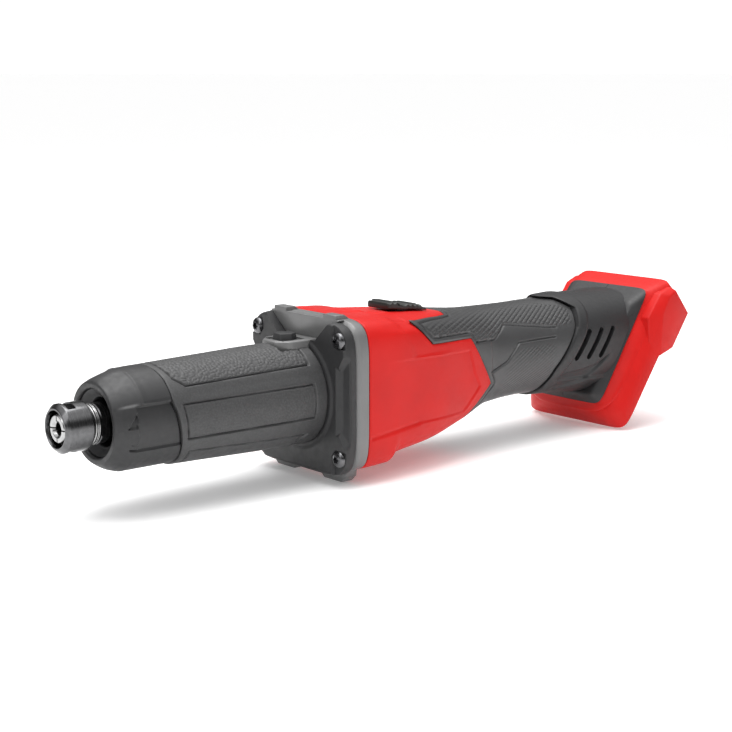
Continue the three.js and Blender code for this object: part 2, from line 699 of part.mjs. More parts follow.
// Everything behind the black end plate's middle, as a wedge that leans with the border.
const borderAt = (t) => FOOT_FRONT + BORDER_LEAN * (BORDER_TOP - t);
const behindPlate = () => footProfile([
  [borderAt(100) - 3, 100], [500, 100], [500, 300], [borderAt(300) - 3, 300],
], -90, 90);

function handleForm() {
  const inside = bodyForm(HANDLE_FRONT - 1, 331, HANDLE_INSET + HANDLE_WALL, BODY_SECTIONS, innerAngles);
  const grip = cut(bodyForm(HANDLE_FRONT, 330, HANDLE_INSET), inside);
  const shroudOuter = cut(bodyForm(297, 391, 0, SHROUD_SECTIONS), gripPrism(GAP), behindPlate());
  const shroudInner = bodyForm(300, 392, HANDLE_INSET + HANDLE_WALL + 1.5, SHROUD_SECTIONS, innerAngles);
  const plate = loft([
    footRing({ depth: FOOT_FRONT - 6, low: 173, high: 236, narrow: 25, wide: 29.5 }),
    footRing({ depth: FOOT_FRONT - GAP, low: BORDER_BOTTOM, high: BORDER_TOP, narrow: 27.4, wide: 33.8 }),
  ]);
  const opening = { low: 178, high: 230, narrow: 20, wide: 25 };
  const plateOpening = loft([
    footRing({ depth: FOOT_FRONT - 12, ...opening }), footRing({ depth: FOOT_FRONT + 1, ...opening }),
  ]);
  const holderRib = cut(bodyForm(209, 212, 4), ring(208, 213, 0, 26.4, ROUND));
  return cut(
    join(grip, shroudOuter, plate, holderRib),
    inside.intersect(block([225, 400], [-60, 60], [-60, 60])), shroudInner, plateOpening, switchSlot(),
  );
}

function ventSlots() {
  return [326, 335.5, 345].map((x) => {
    const slot = boxGeometry([-1.2, 1.2], [-60, 60], [-10, 10]).rotateY(FOOT_TILT);
    return solid(slot.translate(x, 0, 7.2));
  });
}

function handleHalf(side) {
  const half = block([100, 500], side < 0 ? [-90, -0.15] : [0.15, 90], [-90, 90]);
  const bossRadius = side < 0 ? 3.4 : 4.4;
  const bossEnds = side < 0 ? [-26, 0] : [0, 26];
  const bosses = handleScrews.map(([x, z]) => rodAlongY(x, z, bossRadius, ...bossEnds));
  const shroud = cut(bodyForm(297, 391, 0.2, SHROUD_SECTIONS), gripPrism(GAP), behindPlate());
  const within = join(bodyForm(HANDLE_FRONT, 330, HANDLE_INSET + 0.2), shroud);
  const holes = handleScrews.map(([x, z]) => rodAlongY(x, z, 1.9, -9, 30));
  const sinks = handleScrews.map(([x, z]) => rodAlongY(x, z, 3.4, 14.7, 60));
  const form = join(handleForm(), ...bosses.map((boss) => boss.intersect(within)));
  return cut(form.intersect(half), ...holes, ...sinks, ...ventSlots());
}

for (const [side, sign] of SIDES) add(`handle_${side}`, handleHalf(sign), BLACK_NYLON);

function handleOvermold() {
  const skin = cut(bodyForm(186, 331, 0), bodyForm(185, 332, HOUSING_WALL));
  const sinks = handleScrews.map(([x, z]) => rodAlongY(x, z, 3.6, 14.7, 60));
  return cut(skin.intersect(gripPrism(0)), ...sinks);
}

add('handle_overmold', handleOvermold(), RUBBER);

function handleScrew(x, z) {
  const body = turned([[0, 0], [0, 3], [2.4, 3], [2.4, 1.6], [22.4, 1.6], [22.4, 0]], 10);
  const recess = ring(-1, 1.4, 0, 1.5, 6);
  return cut(body, recess).rotate([0, 0, -90]).translate([x, 17.2, z]);
}

handleScrews.forEach(([x, z], i) => add(`handle_screw_${i + 1}`, handleScrew(x, z), DARK_STEEL));

// ---------------------------------------------------------------- slide switch

// The slider follows the falling top line: its underside stays parallel to it, GAP above.
function switchSlider() {
  const under = topLine(206) + GAP + 0.15;
  const profile = [
    [SWITCH_FRONT, 2.7], [196, 4.2], [201, 4.4], [205.5, 3.2], [209.5, 2.6], [213, 3.2], [218, 3.2],
    [224, 2.1], [SWITCH_REAR, 0.6], [SWITCH_REAR, 0], [SWITCH_FRONT, 0],
  ].map(([x, height]) => [x, under - SWITCH_SLOPE * (x - 206) + height]);
  const pad = extrudedAlongY(shapeOf(profile), -SWITCH_HALF_WIDTH, SWITCH_HALF_WIDTH);
  return join(pad, block([204, 211], [-4.4, 4.4], [29.2, under + 1]));
}

add('switch_slider', switchSlider(), BLACK_NYLON);
add('switch_link', join(
  block([201, 222], [-3, 3], [26.8, 28.9]),
  block([220.6, 222], [-3, 3], [23.4, 28]),
), WHITE_NYLON);
add('switch_module', block([231, 250], [-7, 7], [14, 26.2]), BLACK_NYLON);
add('switch_spring', coilSpring(
  new THREE.Vector3(230.7, 0, 25.2), new THREE.Vector3(-1, 0, 0), 8.4, 1.6, 0.35, 4), BRIGHT_STEEL);

// ---------------------------------------------------------------- electronics and leads

add('control_module', block([258, 318], [-15, 15], [-8, 12]), POTTING);
add('heat_sink', join(
  block([262, 314], [-10, 10], [-10.4, -8.3]),
  ...[-8, -4, 0, 4, 8].map((y) => block([262, 314], [y - 0.8, y + 0.8], [-13, -10])),
), ALUMINIUM);

[-1, 0, 1].forEach((side, i) => add(`motor_lead_${i + 1}`, wire([
  new THREE.Vector3(202.9, side * 9, -16.6),
  new THREE.Vector3(211, side * 9, -18.2),
  new THREE.Vector3(224, side * 8.5, -16),
  new THREE.Vector3(240, side * 8, -6),
  new THREE.Vector3(257.6, side * 8, 2),
], 1.1, 8, 6), side === 0 ? WIRE_WHITE : (side < 0 ? WIRE_RED : WIRE_BLUE)));

[['positive', -1], ['negative', 1]].forEach(([name, side]) => add(`battery_lead_${name}`, wire([
  new THREE.Vector3(318.4, side * 6, 3),
  new THREE.Vector3(328, side * 6, 3),
  new THREE.Vector3(338, side * 6, -3),
  footPoint(290.5, side * 6, 193),
], 1.3, 8, 6), side < 0 ? WIRE_RED : POTTING));

// ---------------------------------------------------------------- battery foot

// Raised pad on each side, behind the battery latches: an (n, t) outline at its foot and one at its face.
const wingFoot = [
  [291, 246], [297, 254.6], [WING_REAR, 248], [WING_REAR, 224], [310, 211], [290.6, 228.8],
];
const wingFace = [
  [296.2, 248.3], [298.6, 253.6], [WING_REAR, 248], [WING_REAR, 224], [312.7, 214.7], [297, 236],
];

function wing(side) {
  const at = (outline, y) => outline.map(([n, t]) => footPoint(n, side * y, t));
  return loft([at(wingFoot, 33), at(wingFoot, 37.6), at(wingFace, 41)]);
}

function batteryFoot() {
  const lowEdge = (BASE_Z + FOOT_REAR * Math.sin(FOOT_TILT)) / Math.cos(FOOT_TILT);
  const skirt = loft([
    footRing({ depth: FOOT_FRONT, low: BORDER_BOTTOM, high: BORDER_TOP, narrow: 27.4, wide: 33.8 }),
    footRing({ depth: 300, low: 168.5, high: 258.4, narrow: 33, wide: 37.4, lean: BORDER_LEAN / 3 }),
    footRing({ depth: FOOT_REAR, low: lowEdge, high: 252, narrow: 39.5, wide: 39.5, lean: 0 }),
  ]);
  const hollow = loft([FOOT_FRONT - 14, FOOT_FLOOR - 2.6].map((depth) => footRing({
    depth, low: 188, high: 240, narrow: 25, wide: 29, lean: 0,
  })));
  // The skirt is slim near its front and its low end, so the channel narrows there to leave a wall.
  const channel = [
    footBlock([FOOT_FLOOR, 306], [-29.5, 29.5], [176, 300]),
    footBlock([303.4, 306], [-33.4, 33.4], [192, 300]),
    footBlock([FOOT_FLOOR, 306], [-33.4, 33.4], [214, 300]),
    footBlock([305, 310], [-29.8, 29.8], [169.5, 300]),
    footBlock([309.3, 330], [-31, 31], [169.5, 300]),
    footBlock([309.3, 330], [-35, 35], [176, 300]),
  ];
  const terminalOpening = footBlock([290, 302], [-15, 15], [180, 206]);
  return cut(join(skirt, wing(-1), wing(1)), hollow, ...channel, terminalOpening);
}

add('battery_foot', batteryFoot(), RED);
add('terminal_block', footBlock([291, 309], [-14.6, 14.6], [180.4, 205.6]), BLACK_NYLON);
[['positive', -8], ['negative', 8]].forEach(([name, y]) => add(
  `terminal_blade_${name}`, footBlock([302.5, 308.5], [y - 0.5, y + 0.5], [205.9, 219]), BRASS));

// The origin is the bottom centre of the box.
const length = footPoint(WING_REAR, 0, 248).x;
model.position.set(-length / 2, 0, -BASE_Z);

export default model;
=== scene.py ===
"""Cordless straight die grinder: fine surfaces, materials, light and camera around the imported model.

Shapes are worked out in millimetres on the spindle: x runs back from the collet face, z is up from the
spindle and y = 0 is the plane of symmetry.  place() turns them into the frame's metres.
"""
import json
import math

import bmesh
import bpy
import numpy as np
from mathutils import Matrix, Vector


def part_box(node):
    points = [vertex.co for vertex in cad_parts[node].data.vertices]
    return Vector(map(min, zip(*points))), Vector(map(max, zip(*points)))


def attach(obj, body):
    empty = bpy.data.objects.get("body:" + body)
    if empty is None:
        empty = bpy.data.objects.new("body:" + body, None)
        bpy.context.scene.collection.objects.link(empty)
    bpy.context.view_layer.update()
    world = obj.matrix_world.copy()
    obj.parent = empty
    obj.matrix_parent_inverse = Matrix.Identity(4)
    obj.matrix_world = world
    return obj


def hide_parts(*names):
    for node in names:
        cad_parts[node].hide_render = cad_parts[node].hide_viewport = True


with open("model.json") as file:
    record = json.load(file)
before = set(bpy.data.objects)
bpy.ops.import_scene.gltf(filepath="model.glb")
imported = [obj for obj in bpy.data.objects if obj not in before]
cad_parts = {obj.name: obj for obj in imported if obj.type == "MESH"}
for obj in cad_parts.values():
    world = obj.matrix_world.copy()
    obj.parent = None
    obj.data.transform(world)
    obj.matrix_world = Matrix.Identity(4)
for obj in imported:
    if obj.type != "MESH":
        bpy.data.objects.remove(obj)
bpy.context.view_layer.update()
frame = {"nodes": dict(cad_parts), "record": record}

MM = 0.001
nut_low, nut_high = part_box("collet_nut")
ORIGIN = np.array([nut_low.x, 0.0, (nut_low.z + nut_high.z) / 2])

# ---------------- driving dimensions
# The foot's border, the tongue's rear end and the switch's rear end lie a few millimetres from where the
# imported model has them.

GAP = 0.3
NUT_RADIUS = 11.8
NOSE_FRONT = 20.0
NOSE_RADIUS = 24.5  # this and the next turn degrees into millimetres round the barrel
GRIP_RADIUS = 26
SLEEVE_REAR = 139.2
FLANGE_FRONT = 140.0
FLANGE_REAR = 147.0
CASTING_REAR = 155.0
TUBE_CLEARANCE = 22.3
SCREW_PLACES = [(-33.4, 30.0), (33.4, 30.0), (-33.4, -30.0), (33.4, -30.0)]  # y, z
HANDLE_SCREWS = [(256, 20), (300, 21), (334, -13), (352, 19)]  # x, z
HOUSING_WALL = 2.7
HANDLE_INSET = HOUSING_WALL + GAP
SHROUD_WALL = HANDLE_INSET + 3.9
SWITCH_SLOPE = 0.0967
SWITCH_FRONT = 194.5
SWITCH_REAR = 222.5
SWITCH_HALF_WIDTH = 8.5
SWITCH_SLOT = ((195.5, 213), (-5, 5), (25, 60))  # x, y, z
LOCK_X = 132.5

FOOT_TILT = math.radians(35)
FOOT_FRONT = 290.6
FOOT_FLOOR = 300.0
FOOT_REAR = 314.0
WING_REAR = 319.8
BORDER_TOP = 246.7
BORDER_BOTTOM = 171.4
BORDER_LEAN = 0.098
FOOT_SQUARENESS = 13
LOWEST = -45.0
PAST_SIDES = 60  # a half width that is clear of every surface

# Sections of the body: x, half width, top, bottom, squareness.
BODY_SECTIONS = [
    (139, 40.3, 39.6, -39, 6.5),
    (155, 40.3, 39.6, -39, 6.5),
    (173, 39.6, 39.6, -38.6, 6.3),
    (178, 39.3, 39.2, -34.6, 6),
    (205, 36.5, 36.6, -32.8, 4.6),
    (236, 31, 33.6, -28.2, 3.2),
    (262, 27.6, 32, -22.2, 2.4),
    (290, 27, 32, -21.2, 2.1),
    (335, 28, 32.8, -22.6, 2.1),
]
SHROUD_SECTIONS = [
    (296, 28.2, 33.6, -22.6, 2.1),
    (318, 28.8, 34.3, -23.4, 2.2),
    (345, 30.5, 34.6, -25, 2.5),
    (392, 31, 34.6, -25, 2.6),
]

# Side view of the rubber grip's border, and top view of the red tongue that carries the switch.
GRIP_OUTLINE = [
    (165, 60), (202.3, 22.3), (236, 21), (253, -6), (239, -21), (226, -36), (226, -60), (302, -60),
    (302, -14), (305.4, -5), (323, 18), (327, 28), (321, 33), (310, 33.9), (310, 60),
]
TONGUE_OUTLINE = [
    (150, 32), (193.5, 30), (218, 20.8), (227, 16.5), (231.5, 8.5),
    (231.5, -8.5), (227, -16.5), (218, -20.8), (193.5, -30), (150, -32),
]


# ---------------- numbers and outlines

def place(points):
    return np.asarray(points, float) * MM + ORIGIN


def step_up(value, low, high):
    t = np.clip((value - low) / (high - low), 0, 1)
    return t * t * (3 - 2 * t)


def ridge(distance, half_width):
    """1 on a line, falling smoothly to 0 at half_width from it."""
    return 1 - step_up(np.abs(distance), 0, half_width)


def straight_curve(x, points):
    """Heights at x along straight stretches between (x, height) points."""
    return np.interp(x, *zip(*points))


def smooth_curve(x, points):
    """Heights at x along a smooth curve through (x, height) points that never overshoots them."""
    xs, ys = np.array(points, float).T
    span = np.diff(xs)
    slope = np.diff(ys) / span
    tangent = np.zeros(len(xs))
    for i in range(1, len(xs) - 1):
        if slope[i - 1] * slope[i] > 0:
            tangent[i] = 2 / (1 / slope[i - 1] + 1 / slope[i])
    i = np.clip(np.searchsorted(xs, x) - 1, 0, len(span) - 1)
    t = np.clip((x - xs[i]) / span[i], 0, 1)
    return (
        (2 * t**3 - 3 * t**2 + 1) * ys[i] + (t**3 - 2 * t**2 + t) * span[i] * tangent[i]
        + (3 * t**2 - 2 * t**3) * ys[i + 1] + (t**3 - t**2) * span[i] * tangent[i + 1]
    )


def line_distance(u, v, line, closed=False):
    """Distance from points (u, v) to a chain of straight stretches."""
    ends = list(line) + [line[0]] if closed else list(line)
    nearest = np.full(np.shape(u), 1e9)
    for (u0, v0), (u1, v1) in zip(ends[:-1], ends[1:]):
        du, dv = u1 - u0, v1 - v0
        t = np.clip(((u - u0) * du + (v - v0) * dv) / (du * du + dv * dv), 0, 1)
        nearest = np.minimum(nearest, np.hypot(u - u0 - t * du, v - v0 - t * dv))
    return nearest


def outline_distance(u, v, outline):
    """Distance to an outline's edge, negative inside it."""
    inside = np.zeros(np.shape(u), bool)
    ends = list(outline) + [outline[0]]
    for (u0, v0), (u1, v1) in zip(ends[:-1], ends[1:]):
        if v0 == v1:
            continue
        crosses = ((v0 > v) != (v1 > v)) & (u < (u1 - u0) * (v - v0) / (v1 - v0) + u0)
        inside ^= crosses
    distance = line_distance(u, v, outline, closed=True)
    return np.where(inside, -distance, distance)


def leather(u, v, size):
    """Relief of a leather grain: 0 in the furrows between its cells, 1 on the cells."""
    u, v = u / size, v / size
    nearest = np.full(u.shape, 9.0)
    second = np.full(u.shape, 9.0)
    for i in (-1, 0, 1):
        for j in (-1, 0, 1):
            cell_u, cell_v = np.floor(u) + i, np.floor(v) + j
            shift = np.sin(cell_u * 127.1 + cell_v * 311.7) * 43758.5453
            other = np.sin(cell_u * 269.5 + cell_v * 183.3) * 43758.5453
            distance = np.hypot(cell_u + shift % 1 - u, cell_v + other % 1 - v)
            second = np.minimum(second, np.maximum(nearest, distance))
            nearest = np.minimum(nearest, distance)
    return step_up(second - nearest, 0.02, 0.38)


def evenly_spaced(u, v, count):
    """`count` points at even steps along a closed curve of (u, v) points, and the curve's length."""
    length = np.concatenate([[0], np.cumsum(np.hypot(np.diff(u), np.diff(v)))])
    wanted = np.arange(count) / count * length[-1]
    return np.interp(wanted, length, u), np.interp(wanted, length, v), length[-1]


def signed_power(values, power):
    return np.sign(values) * np.abs(values)**power


def round_outline(centre, radius, sides, turn=0.0):
    """A regular polygon, its first corner `turn` radians round from +u."""
    angles = turn + np.arange(sides) * 2 * np.pi / sides
    return list(zip(centre[0] + radius * np.cos(angles), centre[1] + radius * np.sin(angles)))


def star_outline(radius, waviness, lobes=6, points=72):
    """A six-lobed driver recess, as (u, v) points."""
    angles = np.arange(points) * 2 * np.pi / points
    radii = radius + waviness * np.cos(lobes * angles)
    return list(zip(radii * np.cos(angles), radii * np.sin(angles)))


def rounded_slot(length, width, steps=8):
    """A slot with round ends, centred on the origin, its length along v."""
    end = width / 2
    reach = length / 2 - end
    upper = [(end * math.cos(a), reach + end * math.sin(a)) for a in np.linspace(0, math.pi, steps)]
    lower = [(-u, -v) for u, v in upper]
    return upper + lower


def unrolled(points, radius):
    """(x, degrees from the top) points as (x, millimetres round a barrel)."""
    return [(x, degrees * (radius * math.pi / 180)) for x, degrees in points]


def grown(outline, margin):
    """An outline moved outwards, corner by corner."""
    area = sum(a[0] * b[1] - b[0] * a[1] for a, b in zip(outline, outline[1:] + outline[:1]))
    outward = margin * (1 if area > 0 else -1)
    result = []
    for i, point in enumerate(outline):
        before = Vector(outline[i - 1])
        here = Vector(point)
        after = Vector(outline[(i + 1) % len(outline)])
        arriving = (here - before).normalized()
        leaving = (after - here).normalized()
        side = Vector((arriving.y + leaving.y, -arriving.x - leaving.x))
        moved = here + side * (outward / (1 + arriving.dot(leaving)))
        result.append((moved.x, moved.y))
    return result


def eased(profile, radius, steps=3):
    """A closed (x, r) profile with each corner eased by a short curve."""
    result = []
    count = len(profile)
    for i in range(count):
        here = np.array(profile[i], float)
        before = np.array(profile[i - 1], float) - here
        after = np.array(profile[(i + 1) % count], float) - here
        reach = min(radius, 0.45 * np.linalg.norm(before), 0.45 * np.linalg.norm(after))
        start = here + before / np.linalg.norm(before) * reach
        end = here + after / np.linalg.norm(after) * reach
        for t in np.linspace(0, 1, steps + 1):
            point = (1 - t)**2 * start + 2 * t * (1 - t) * here + t**2 * end
            result.append(tuple(point))
    return result


# ---------------- meshes

def add_object(name, data):
    obj = bpy.data.objects.new(name, data)
    bpy.context.scene.collection.objects.link(obj)
    return obj


def mesh_object(name, points, faces):
    """A mesh through points given in millimetres, turned so that its faces point out."""
    mesh = bpy.data.meshes.new(name)
    mesh.from_pydata(place(points).tolist(), [], [list(map(int, face)) for face in faces])
    turned_out = bmesh.new()
    turned_out.from_mesh(mesh)
    if turned_out.calc_volume(signed=True) < 0:
        bmesh.ops.reverse_faces(turned_out, faces=turned_out.faces)
        turned_out.to_mesh(mesh)
    turned_out.free()
    return add_object(name, mesh)


def grid_faces(rows, columns, wrap_rows):
    row = np.arange(rows if wrap_rows else rows - 1)[:, None]
    column = np.arange(columns)[None, :]
    here = row * columns
    below = (row + 1) % rows * columns
    beside = (column + 1) % columns
    corners = [here + column, here + beside, below + beside, below + column]
    return np.stack(np.broadcast_arrays(*corners), -1).reshape(-1, 4)


def ring_shell(name, outer, inner):
    """A closed shell: outer rows from front to rear, joined to inner rows of as many points."""
    rows = np.concatenate([outer, inner[::-1]])
    return mesh_object(name, rows.reshape(-1, 3), grid_faces(rows.shape[0], rows.shape[1], True))


def capped(name, rows):
    """A closed solid skinned over rings, its two ends filled by fans."""
    count, columns = rows.shape[:2]
    points = np.concatenate([rows.reshape(-1, 3), rows[0].mean(0)[None], rows[-1].mean(0)[None]])
    faces = grid_faces(count, columns, False).tolist()
    last = (count - 1) * columns
    for i in range(columns):
        j = (i + 1) % columns
        faces.append([count * columns, j, i])
        faces.append([count * columns + 1, last + i, last + j])
    return mesh_object(name, points, faces)


def circles(x, r, angle):
    """Rings about the spindle, with each point's angle taken from the top towards -y."""
    return np.stack(np.broadcast_arrays(x, -r * np.sin(angle), r * np.cos(angle)), -1)


def turned(name, profile, segments=112):
    """(x, r) points turned about the spindle: a closed ring, or a solid whose two ends lie on it."""
    solid = profile[0][1] == 0
    x, r = np.array(profile[1:-1] if solid else profile, float).T[..., None]
    rows = circles(x, r, np.arange(segments) * 2 * np.pi / segments)
    if solid:
        return capped(name, rows)
    return mesh_object(name, rows.reshape(-1, 3), grid_faces(len(rows), segments, True))


def prism(outline, axes, low, high, mapping=None, name="cutter"):
    """An outline of (u, v) points pushed from low to high. axes, such as "xzy", name u, v and the depth."""
    u, v, w = ("xyz".index(letter) for letter in axes)
    count = len(outline)
    points = np.zeros((2 * count, 3))
    for layer, depth in enumerate((low, high)):
        rows = slice(layer * count, (layer + 1) * count)
        points[rows, u] = [p[0] for p in outline]
        points[rows, v] = [p[1] for p in outline]
        points[rows, w] = depth
    if mapping:
        points = mapping(points)
    faces = [list(range(count)), list(range(2 * count - 1, count - 1, -1))]
    for i in range(count):
        j = (i + 1) % count
        faces.append([i, i + count, j + count, j])
    return mesh_object(name, points, faces)


def block(x, y, z, mapping=None, name="cutter"):
    outline = [(x[0], y[0]), (x[1], y[0]), (x[1], y[1]), (x[0], y[1])]
    return prism(outline, "xyz", z[0], z[1], mapping, name)


def rod(axis, centre, radius, low, high, sides=32):
    """A round rod along "x", "y" or "z"; centre holds its two other coordinates in x, y, z order."""
    others = "xyz".replace(axis, "")
    return prism(round_outline(centre, radius, sides), others + axis, low, high)


def apply_modifiers(obj):
    evaluated = obj.evaluated_get(bpy.context.evaluated_depsgraph_get())
    mesh = bpy.data.meshes.new_from_object(evaluated)
    obj.modifiers.clear()
    obj.data = mesh
    return obj


def bevelled(obj, width, segments=2):
    modifier = obj.modifiers.new("edges", "BEVEL")
    modifier.width = width * MM
    modifier.segments = segments
    modifier.limit_method = "ANGLE"
    modifier.angle_limit = math.radians(25)
    return apply_modifiers(obj)


def combined(obj, others, operation):
    for other in others:
        modifier = obj.modifiers.new("combine", "BOOLEAN")
        modifier.operation = operation
        modifier.solver = "MANIFOLD"
        modifier.object = other
    apply_modifiers(obj)
    for other in others:
        bpy.data.objects.remove(other)
    return obj


def joined(obj, *others):
    return combined(obj, others, "UNION")


def cut(obj, *others):
    return combined(obj, others, "DIFFERENCE")


def kept_inside(obj, other):
    return combined(obj, [other], "INTERSECT")


def even_ring(half_width, top, bottom, squareness, count):
    """Evenly spaced y and z round a squared oval, from its top centre towards -y, and its length."""
    angle = np.linspace(0, 2 * np.pi, 1441)
    power = 2 / squareness
    y = -half_width * signed_power(np.sin(angle), power)
    z = (top + bottom) / 2 + (top - bottom) / 2 * signed_power(np.cos(angle), power)
    return evenly_spaced(y, z, count)


def body_rows(stations, inset, count, sections=BODY_SECTIONS):
    """Rings of the body at the given x stations. Also gives each point's distance round from the top."""
    values = [smooth_curve(stations, [(row[0], row[k]) for row in sections]) for k in range(1, 5)]
    rows = np.empty((len(stations), count, 3))
    around = np.empty((len(stations), count))
    for i, x in enumerate(stations):
        half_width, top, bottom, squareness = (value[i] for value in values)
        y, z, length = even_ring(half_width - inset, top - inset, bottom + inset, squareness, count)
        rows[i] = np.stack([np.full(count, x), y, z], 1)
        share = np.arange(count) / count
        around[i] = np.minimum(share, 1 - share) * length
    return rows, around


def pushed_in(rows, depth):
    """Rows with each point moved inwards, square to its ring."""
    ahead = np.roll(rows, -1, axis=1) - np.roll(rows, 1, axis=1)
    normal = np.stack([np.zeros(rows.shape[:2]), ahead[..., 2], -ahead[..., 1]], -1)
    normal /= np.linalg.norm(normal, axis=-1, keepdims=True)
    outward = rows - rows.mean(axis=1, keepdims=True)
    outward[..., 0] = 0
    normal *= np.sign((normal * outward).sum(-1, keepdims=True))
    return rows - normal * depth[..., None]


def foot_frame(points):
    """From the foot's own axes (n square to the battery face, y, t up the face) to x, y, z."""
    n, y, t = np.moveaxis(np.asarray(points, float), -1, 0)
    c, s = math.cos(FOOT_TILT), math.sin(FOOT_TILT)
    return np.stack([n * c + t * s, y, -n * s + t * c], -1)


def foot_ring(depth, low, high, narrow, wide, lean=BORDER_LEAN, low_corners=FOOT_SQUARENESS, count=240):
    """A ring of the foot, narrower at its bottom and leaning with the border.

    low and high are heights up the face, narrow and wide the half widths there, and low_corners is the
    squareness of the two lower corners.
    """
    angle = np.linspace(0, 2 * np.pi, 2881)
    power = 2 / np.where(np.cos(angle) > 0, FOOT_SQUARENESS, low_corners)
    up = (high + low) / 2 + (high - low) / 2 * signed_power(np.cos(angle), power)
    half = narrow + (wide - narrow) * (up - low) / (high - low)
    y, t, _ = evenly_spaced(-half * signed_power(np.sin(angle), power), up, count)
    return foot_frame(np.stack([depth + lean * (BORDER_TOP - t), y, t], -1))


# ---------------- materials

class Shader:
    """A material with one Principled shader and object coordinates in millimetres."""

    def __init__(self, name, **values):
        self.material = bpy.data.materials.new(name)
        self.material.use_nodes = True
        self.nodes = self.material.node_tree.nodes
        self.shader = self.put(self.nodes["Principled BSDF"], **values)
        coordinates = self.add("ShaderNodeTexCoord")
        scaled = self.add("ShaderNodeVectorMath")
        scaled.operation = "SCALE"
        self.put(scaled, Vector=coordinates.outputs["Object"], Scale=1 / MM)
        self.position = scaled.outputs[0]

    def put(self, node, **inputs):
        """Set a node's inputs by name, each to a value or to another node's output."""
        for name, value in inputs.items():
            socket = node.inputs[name.replace("_", " ")]
            if isinstance(value, bpy.types.NodeSocket):
                self.material.node_tree.links.new(value, socket)
            else:
                socket.default_value = value
        return node

    def add(self, kind, **inputs):
        return self.put(self.nodes.new(kind), **inputs)

    def noise(self, scale, detail=4, stretch=(1, 1, 1)):
        """Noise with `scale` features per millimetre."""
        mapping = self.add("ShaderNodeMapping", Vector=self.position, Scale=stretch)
        noise = self.add("ShaderNodeTexNoise", Vector=mapping.outputs[0], Scale=scale, Detail=detail)
        return noise.outputs["Fac"]

    def cells(self, scale):
        return self.add("ShaderNodeTexVoronoi", Vector=self.position, Scale=scale).outputs["Distance"]

    def ranged(self, value, low, high, from_low=0.3, from_high=0.7):
        """A value spread from its own range to another, and kept inside it."""
        spread = self.add(
            "ShaderNodeMapRange", Value=value, From_Min=from_low, From_Max=from_high, To_Min=low, To_Max=high)
        return spread.outputs["Result"]

    def tinted(self, value, dark, light):
        """Colour between dark and light by a value from 0 to 1."""
        ramp = self.add("ShaderNodeMix")
        ramp.data_type = "RGBA"
        self.put(ramp, A=(*dark, 1), B=(*light, 1), Factor=value)
        self.put(self.shader, Base_Color=ramp.outputs["Result"])

    def rough(self, value, low, high):
        self.put(self.shader, Roughness=self.ranged(value, low, high))

    def bump(self, heights, distance=0.05):
        """Bumps from (value, strength) pairs, one on top of the other."""
        below = {}
        for value, strength in heights:
            bump = self.add(
                "ShaderNodeBump", Height=value, Strength=strength, Distance=distance * MM, **below)
            below = {"Normal": bump.outputs["Normal"]}
        self.put(self.shader, **below)


def shade(colour, factor):
    return tuple(min(1.0, c * factor) for c in colour)


def moulded(name, colour, roughness, grain=1.6, depth=0.05, strength=0.5, spread=0.06, **values):
    """Moulded plastic: fine spark-eroded grain, faint colour drift and handling marks in the gloss."""
    shader = Shader(name, **values)
    drift = shader.noise(0.05, 3)
    fine = shader.noise(grain, 3)
    marks = shader.noise(0.35, 6)
    shader.tinted(shader.ranged(drift, 0, 1), shade(colour, 0.94), shade(colour, 1.06))
    shader.rough(marks, roughness - spread, roughness + spread)
    shader.bump([(fine, strength), (marks, 0.15)], depth)
    return shader.material


def leather_grain_and_painted_shade(name, colour, roughness):
    """Soft overmould with a pebbled grain, its colour painted lighter on the pebble tops and darker in the
    furrows as painted highlight and painted shade.
    """
    shader = Shader(name)
    pebbles = shader.cells(0.95)
    fine = shader.noise(2.4, 3)
    # Painted highlight and painted shade: the colour is lighter at each pebble's centre and darker towards
    # the furrows between pebbles
    shader.tinted(shader.ranged(pebbles, 0, 1, 0.1, 0.7), shade(colour, 1.12), shade(colour, 0.86))
    shader.rough(shader.noise(0.3, 5), roughness - 0.07, roughness + 0.07)
    shader.bump([(pebbles, 0.25), (fine, 0.35)], 0.08)
    return shader.material


def turned_steel(name, colour, roughness, lines=0.25):
    """Steel off the lathe: fine rings square to the spindle, with small marks."""
    shader = Shader(name, Metallic=1.0)
    rings = shader.noise(1.0, 3, stretch=(9, 0.02, 0.02))
    marks = shader.noise(0.5, 6)
    shader.tinted(shader.ranged(marks, 0, 1), shade(colour, 0.85), shade(colour, 1.12))
    shader.rough(rings, roughness - 0.08, roughness + 0.1)
    shader.bump([(rings, lines), (marks, 0.08)], 0.02)
    return shader.material


def painted_casting(name, colour, roughness):
    shader = Shader(name, Metallic=0.25)
    skin = shader.noise(1.1, 5)
    drift = shader.noise(0.06, 3)
    shader.tinted(shader.ranged(drift, 0, 1), shade(colour, 0.93), shade(colour, 1.07))
    shader.rough(skin, roughness - 0.06, roughness + 0.08)
    shader.bump([(skin, 0.35)], 0.05)
    return shader.material


RED = (0.56, 0.012, 0.010)
BLACK = (0.018, 0.018, 0.019)
CHARCOAL = (0.047, 0.047, 0.048)

